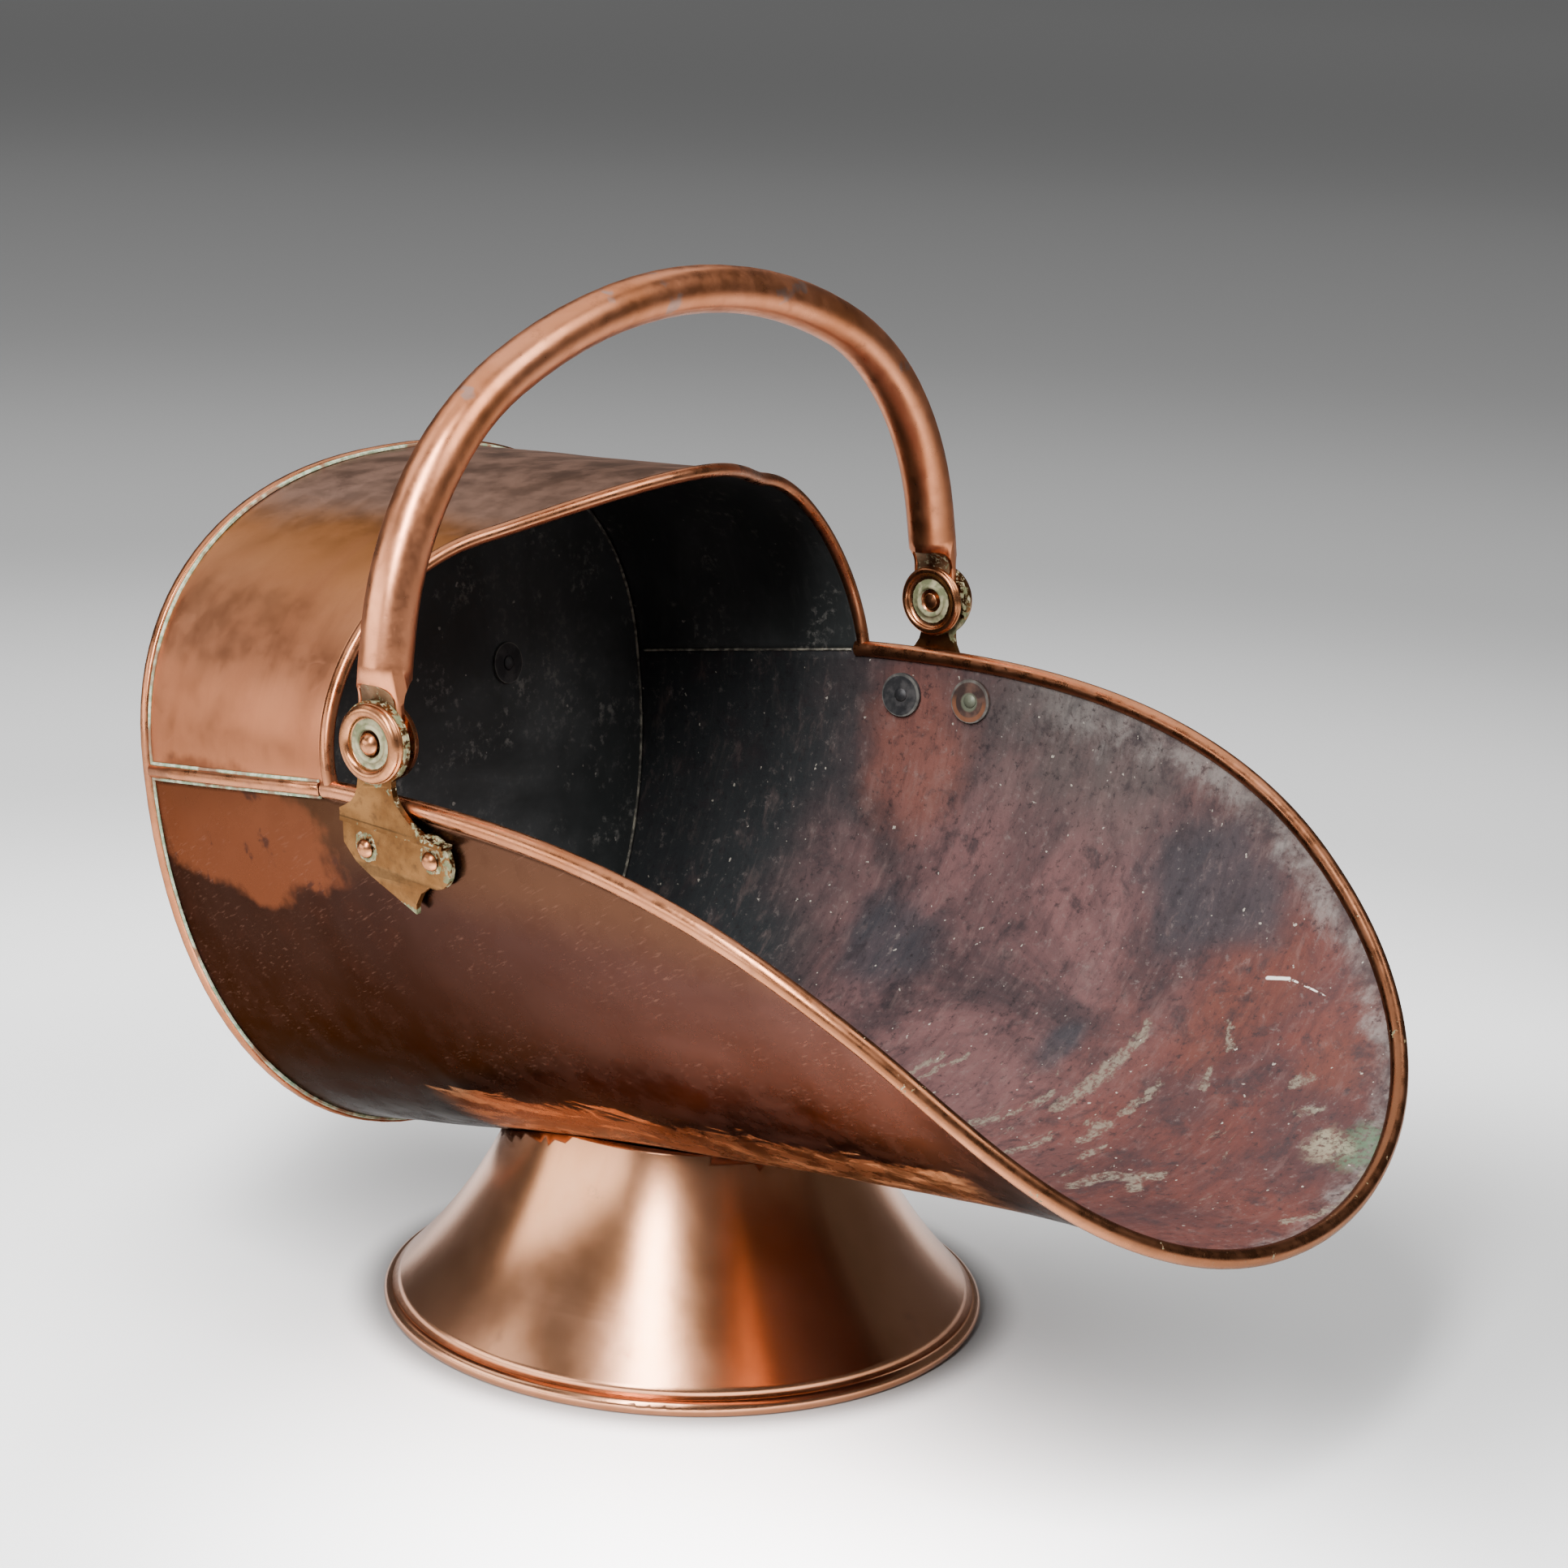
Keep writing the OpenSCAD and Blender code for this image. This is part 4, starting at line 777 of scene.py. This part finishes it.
def dark_washer():
    b = Finish("sooty washer")
    y, z = (b.along(axis) for axis in "YZ")
    fine = b.noise(b.coords, 200, 5, 0.6)
    black = b.mix(b.step(fine, 0.4, 0.68), (0.022, 0.022, 0.024), (0.06, 0.056, 0.056))
    brown = b.mix(b.step(fine, 0.4, 0.68), (0.045, 0.027, 0.023), (0.12, 0.062, 0.045))
    front = b.times(b.step(y, 0.046, 0.042), b.step(y, 0.0, 0.01))
    color = b.mix(front, black, brown)
    # The lug's front washer: an orange crescent and a green stud
    near = b.least(*(b.from_axis(*stud) for stud in studs))
    low_side = b.times(b.step(z, 0.2125, 0.208), front)
    crescent = b.times(b.times(b.step(near, 0.0058, 0.0064), b.step(near, 0.0082, 0.0076)), low_side)
    color = b.mix(b.times(crescent, 0.8), color, (0.22, 0.085, 0.04))
    color = b.mix(b.times(front, b.step(near, 0.0042, 0.0032)), color, (0.12, 0.13, 0.09))
    # Pale rims, on the lug's washers and on those of the back plate
    both_sides = b.vector("ABSOLUTE", b.coords)
    side = b.vector("MULTIPLY", b.vector("SUBTRACT", both_sides, (0.057, 0, 0.2136)), (1, 0, 1))
    on_back = b.step(y, 0.15, 0.16)
    near = b.blend(on_back, near, b.vector("LENGTH", side, output=1))
    rim = b.times(b.step(near, 0.0077, 0.0081), b.step(near, 0.0092, 0.009))
    color = b.mix(b.times(rim, b.step(fine, 0.35, 0.6, 0.35, 0.9)), color, (0.15, 0.145, 0.13))
    return b.done(color, b.step(fine, 0.3, 0.7, 0.45, 0.65), 0.3, fine, 0.0003, 0.5)


def drawn_wire():
    b = Finish("drawn iron wire")
    fine = b.noise(b.coords, 200, 4)
    return b.done(b.mix(fine, (0.1, 0.08, 0.07), (0.2, 0.17, 0.15)), 0.55, 0.8, fine, 0.0001, 0.4)


copper, patina, soot_black = copper_sheet("old copper sheet"), inner_patina(), soot()
plate_copper = copper_sheet("old copper back plate", hooded=False)
foot_metal, tube_metal, edge_metal, boss_metal = foot_copper(), handle_copper(), edge_copper(), boss_copper()
lug_metal, crust_line, pale_line = lug_bronze(), joint_crust(), pale_solder()
washer_metal, wire_iron, tongue_metal = dark_washer(), drawn_wire(), tongue_copper()

# ---- meshes ----
ROOT, BAIL = "scuttle", "bail"
weld = 1e-6


def finish_piece(name, bm, materials, body, replaces=(), sharp=35.0):
    mesh = bpy.data.meshes.new(name)
    bm.to_mesh(mesh)
    bm.free()
    for material in materials:
        mesh.materials.append(material)
    mesh.polygons.foreach_set("use_smooth", [True] * len(mesh.polygons))
    if sharp:
        mesh.set_sharp_from_angle(angle=radians(sharp))
    piece = bpy.data.objects.new(name, mesh)
    bpy.context.scene.collection.objects.link(piece)
    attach(piece, body)
    if replaces:
        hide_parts(*replaces)
    return piece


def merged_copy(node):
    bm = bmesh.new()
    bm.from_mesh(nodes[node].data)
    bmesh.ops.remove_doubles(bm, verts=bm.verts, dist=weld)
    return bm


def redress(node, name, materials, body=ROOT, sharp=35.0, pick=None):
    """A merged, smooth-shaded copy of a CAD node with its own finishes."""
    bm = merged_copy(node)
    if pick:
        for face in bm.faces:
            face.material_index = pick(face)
    return finish_piece(name, bm, materials, body, (node,), sharp)


def sheet_grid(columns, rows, at):
    """A grid of columns by rows quads; at(u, v) gives each corner's place, u and v from 0 to 1."""
    bm = bmesh.new()
    bmesh.ops.create_grid(bm, x_segments=columns, y_segments=rows, size=0.5)
    for vert in bm.verts:
        vert.co = place(at(vert.co.x + 0.5, vert.co.y + 0.5))
    bmesh.ops.remove_doubles(bm, verts=bm.verts, dist=weld)
    bmesh.ops.dissolve_degenerate(bm, edges=bm.edges, dist=weld)
    return bm


def turn_out(bm, axis_z, ahead=0.0):
    """Turns the faces of an open sheet away from a line along y at that height."""
    wrong = []
    for face in bm.faces:
        middle = face.calc_center_median()
        if face.normal.dot(Vector((middle.x, ahead, middle.z - axis_z))) < 0:
            wrong.append(face)
    bmesh.ops.reverse_faces(bm, faces=wrong)


def thicken(piece):
    """Gives a sheet its gauge: the outer finish outside, the inner one inside."""
    solid = piece.modifiers.new("gauge", "SOLIDIFY")
    solid.thickness = sheet_t / 1000
    solid.offset = 0.0
    solid.material_offset = 1
    solid.use_rim = True


def swept(name, path, radius, material, sides=8, closed=False, replaces=()):
    """A round bead laid along a path of points in metres."""
    curve = bpy.data.curves.new(name, "CURVE")
    curve.dimensions = "3D"
    curve.bevel_depth = radius
    curve.bevel_resolution = max(1, sides // 4 - 1)
    curve.use_fill_caps = True
    curve.twist_mode = "MINIMUM"
    line = curve.splines.new("POLY")
    line.points.add(len(path) - 1)
    for point, p in zip(line.points, path):
        point.co = (*p, 1)
    line.use_cyclic_u = closed
    holder = bpy.data.objects.new(name + " path", curve)
    bpy.context.scene.collection.objects.link(holder)
    mesh = bpy.data.meshes.new_from_object(holder.evaluated_get(bpy.context.evaluated_depsgraph_get()))
    bpy.data.objects.remove(holder)
    bm = bmesh.new()
    bm.from_mesh(mesh)
    bpy.data.meshes.remove(mesh)
    bmesh.ops.remove_doubles(bm, verts=bm.verts, dist=weld)
    bmesh.ops.recalc_face_normals(bm, faces=bm.faces)
    return finish_piece(name, bm, [material], ROOT, replaces, 60)


# The shares of their run that the sheets fill, the gap to the rolled edge on either side of the
# hood's corner, and the length of the dents' waves
body_ends, hood_ends = (-0.997, 0.9985), (0.004, 0.985)
corner_ease, edge_gaps = 0.02, (0.3, 1.6)
broad_wave, small_wave = 46, 17


def mirrored(points):
    return [Vector((-p.x, p.y, p.z)) for p in points]


def dent(p, amount):
    """Slow unevenness of hand-raised sheet, in millimetres, in broad waves and small ones."""
    return amount * noise.noise(p / broad_wave) + 0.35 * amount * noise.noise(p / small_wave)


# The body sheet
def body_at(u, v):
    t = lerp(*body_ends, v)
    a, yb = inset_station(t, lerp(*edge_gaps, clamp((t + corner_ease) / (2 * corner_ease))))
    a *= 2 * u - 1
    p = skin(a, yb)
    return p + skin_normal(a, yb) * dent(p, 0.45) * clamp(min(v, 1 - v) * 20)


bm = sheet_grid(128, 190, body_at)
turn_out(bm, 0.26, 0.02)
bucket = finish_piece("body_sheet", bm, [copper, patina], ROOT, ("bucket",), None)
thicken(bucket)


# The hood sheet
def hood_at(u, v):
    a = 180 * u
    p = hood_point(a, lerp(*hood_ends, v))
    return p + Vector((p.x, 0, p.z - 200)).normalized() * dent(p, 0.5) * clamp(min(v, 1 - v) * 8)


bm = sheet_grid(144, 48, hood_at)
turn_out(bm, 0.2)
hood = finish_piece("hood_sheet", bm, [copper, soot_black], ROOT, ("hood",), None)
thicken(hood)

redress("back_plate", "back_sheet", [plate_copper, soot_black], pick=lambda f: 1 if f.normal.y < -0.5 else 0)
redress("back_seam", "back_seam_fold", [edge_metal])
for hand in ("left", "right"):
    redress("side_seam_" + hand, "side_seam_strip_" + hand, [edge_metal])

# Rolled edges
mouth_steps, hood_steps = 175, 150
mouth_half = [place(edge_point(lerp(-0.03, 1, i / mouth_steps))) for i in range(mouth_steps + 1)]
mouth_path = mouth_half + mirrored(mouth_half[-2::-1])
swept("mouth_edge", mouth_path, mouth_bead_r / 1000, edge_metal, 20, replaces=("mouth_bead", "mouth_wire"))
hood_path = [place(hood_edge(lerp(0.0, 180.0, i / hood_steps))) for i in range(hood_steps + 1)]
swept("hood_front_edge", hood_path, hood_bead_r / 1000, edge_metal, 16, replaces=("hood_bead", "hood_wire"))

redress("foot", "foot_flare", [foot_metal], sharp=50)
redress("foot_bead", "foot_edge", [foot_metal], sharp=50)
redress("foot_wire", "foot_edge_wire", [wire_iron])


def is_inner_tail(face):
    """1 for the tails of the lugs' rivets inside the body, 0 for their heads outside the sheet."""
    middle = face.calc_center_median()
    sheet_x = 0.1557 if middle.y > 0.045 else 0.1582
    return int(abs(middle.x) < sheet_x)


# The bail, lugs, bosses, rivets, washers and back grip
redress("bail_handle", "bail_tube", [tube_metal], BAIL, 42)
for hand in ("left", "right"):
    redress("handle_end_" + hand, "handle_tongue_" + hand, [tongue_metal], BAIL, 66)
    redress("lug_" + hand, "cast_lug_" + hand, [lug_metal])
    redress("outer_boss_" + hand, "ringed_boss_" + hand, [boss_metal], sharp=45)
    redress("inner_boss_" + hand, "inner_ringed_boss_" + hand, [boss_metal], sharp=45)
    redress("pivot_rivet_" + hand, "pivot_stud_" + hand, [boss_metal], sharp=45)
    redress("lug_rivets_" + hand, "lug_studs_" + hand, [boss_metal, washer_metal], sharp=45,
            pick=is_inner_tail)
    redress("lug_washers_" + hand, "lug_washer_rings_" + hand, [washer_metal])
redress("back_handle", "back_grip", [tube_metal], sharp=45)
redress("back_handle_rivets", "back_grip_studs", [edge_metal, washer_metal], sharp=45,
        pick=lambda f: int(f.calc_center_median().y < 0.187))
redress("back_washers", "back_washer_rings", [washer_metal])

# Crust and solder along the joints
plate_steps, line_steps = 120, 60
for title, grow, ahead, radius, material in (
    ("back_seam_crust", 1.0, seam_front + 0.3, 0.0008, crust_line),
    ("back_joint_inside", -1.0, 0.2, 0.0006, pale_line),
):
    ring = [place(outline(i, plate_steps, grow, ahead)) for i in range(2 * plate_steps)]
    swept(title, ring, radius, material, closed=True)


def seam_line(offset_in, offset_out):
    line = []
    for i in range(line_steps + 1):
        point, inward, out = edge_frame(lerp(-0.97, -0.05, i / line_steps))
        line.append(place(point + inward * offset_in + out * offset_out))
    return line


for hand in ("left", "right"):
    for title, offsets, material, radius in (
        ("upper_crust", (-2.75, 0.9), crust_line, 0.0007),
        ("lower_crust", (2.75, 0.9), crust_line, 0.0007),
        ("joint_inside", (0.3, -0.75), pale_line, 0.00055),
    ):
        line = seam_line(*offsets)
        if hand == "left":
            line = mirrored(line)
        swept("side_seam_" + title + "_" + hand, line, radius, material)

# ---- camera, solved from the photo ----
az, el, roll = radians(-52.8453), radians(15.2585), radians(2.35289)
camera_at = Vector((-1.1044, -0.8756 + foot_y, 0.5887))
camera_data = bpy.data.cameras.new("camera")
camera_data.sensor_width = 36
camera_data.lens = 90.652
camera_data.clip_start, camera_data.clip_end = 0.05, 60
camera = bpy.data.objects.new("camera", camera_data)
bpy.context.scene.collection.objects.link(camera)
back = Vector((sin(az) * cos(el), -cos(az) * cos(el), sin(el)))
level = Vector((cos(az), sin(az), 0))
rise = Vector((-sin(az) * sin(el), cos(az) * sin(el), cos(el)))
right = level * cos(roll) + rise * sin(roll)
up = rise * cos(roll) - level * sin(roll)
turn = Matrix((right, up, back)).transposed().to_4x4()
camera.matrix_world = Matrix.Translation(camera_at) @ turn
bpy.context.scene.camera = camera

# ---- floor, light and air ----
floor_r, ramp_reach = 16, 8.0
pool_centre, white_pool_centre = (-0.16, -0.04, 0), (-0.15, -0.13, 0)
# The floor's grey by its share of the ramp's reach: a painted pool of light round pool_centre that fades to
# grey further off
stops = (
    (0.0, 0.93), (0.03, 0.9), (0.07, 0.77), (0.12, 0.45),
    (0.2, 0.24), (0.32, 0.175), (0.5, 0.215), (0.9, 0.3),
)
# Soft shades painted on the floor, right, left and under the foot: centre, size, softness, depth
painted = (
    ((0.19, -0.17, 0), (0.24, 0.15, 1), 0.7, 0.52),
    ((0.02, 0.16, 0), (0.12, 0.09, 1), 0.7, 0.42),
    ((0, foot_y, 0), (0.123, 0.123, 1), 0.08, 0.75),
)
bm = bmesh.new()
bmesh.ops.create_circle(bm, cap_ends=True, segments=96, radius=floor_r)
floor_mesh = bpy.data.meshes.new("floor")
bm.to_mesh(floor_mesh)
bm.free()
floor = bpy.data.objects.new("floor", floor_mesh)
bpy.context.scene.collection.objects.link(floor)
pale = Finish("pale studio floor")
ramp = pale.tree.nodes.new("ShaderNodeValToRGB")
pale.feed(ramp.inputs[0], pale.math("DIVIDE", pale.away_from(pool_centre), ramp_reach))
ramp.color_ramp.interpolation = "EASE"
for i, (where, grey) in enumerate(stops):
    stop = ramp.color_ramp.elements[i] if i < 2 else ramp.color_ramp.elements.new(where)
    stop.position = where
    stop.color = (grey, grey, grey, 1)
floor_seen = pale.add("ShaderNodeLightPath", "Is Camera Ray")
floor_mirrored = pale.add("ShaderNodeLightPath", "Is Glossy Ray")
# Painted pool of light: the floor as seen and mirrored is lifted most round its centre near the foot
white_pool_gain = pale.step(pale.away_from(white_pool_centre), 0.0, 0.27, 2.9, 0.45)
lift = pale.plus(pale.times(pale.most(floor_seen, floor_mirrored), white_pool_gain), 1.0)
shades = [
    pale.minus(1.0, pale.times(pale.spot(centre, size, 0.0, 1, soft), depth))
    for centre, size, soft, depth in painted
]
lift = pale.times(lift, reduce(pale.times, shades))
lifted = pale.vector("SCALE", ramp.outputs[0])
pale.feed(lifted.node.inputs["Scale"], lift)
floor_mesh.materials.append(pale.done(lifted, 0.9, 0.0))
pale.shader.inputs["Specular IOR Level"].default_value = 0.1

world = bpy.data.worlds.new("studio")
bpy.context.scene.world = world
world.use_nodes = True
air = Board(world.node_tree)
shade = world.node_tree.nodes["Background"]
seen = air.add("ShaderNodeLightPath", "Is Camera Ray")
mirrored_ray = air.add("ShaderNodeLightPath", "Is Glossy Ray")
through = air.add("ShaderNodeLightPath", "Is Transmission Ray")
shown = air.most(seen, air.most(mirrored_ray, through))
air.feed(shade.inputs["Color"], air.mix(shown, (0.26, 0.26, 0.26), (0.118, 0.118, 0.118)))

aim = Vector((0, 0, 0.15))


def softbox(name, azimuth, elevation, distance_m, width, height, power_w):
    """A rectangular lamp that faces the aim from a direction in degrees."""
    lamp_data = bpy.data.lights.new(name, "AREA")
    lamp_data.shape = "RECTANGLE"
    lamp_data.size, lamp_data.size_y = width, height
    lamp_data.energy = power_w
    lamp = bpy.data.objects.new(name, lamp_data)
    a, e = radians(azimuth), radians(elevation)
    way = Vector((sin(a) * cos(e), -cos(a) * cos(e), sin(e)))
    lamp.location = aim + way * distance_m
    lamp.rotation_mode = "QUATERNION"
    lamp.rotation_quaternion = way.to_track_quat("Z", "Y")
    bpy.context.scene.collection.objects.link(lamp)


softbox("tall strip", -70, 46, 2.2, 0.4, 1.7, 92)
softbox("broad front", 15, 50, 2.4, 1.6, 1.2, 44)
softbox("ceiling", 145, 62, 2.8, 3.2, 3.0, 46)
softbox("left wall", -120, 12, 2.7, 2.9, 1.1, 46)
softbox("left key", -150, 46, 2.6, 1.3, 1.1, 10)
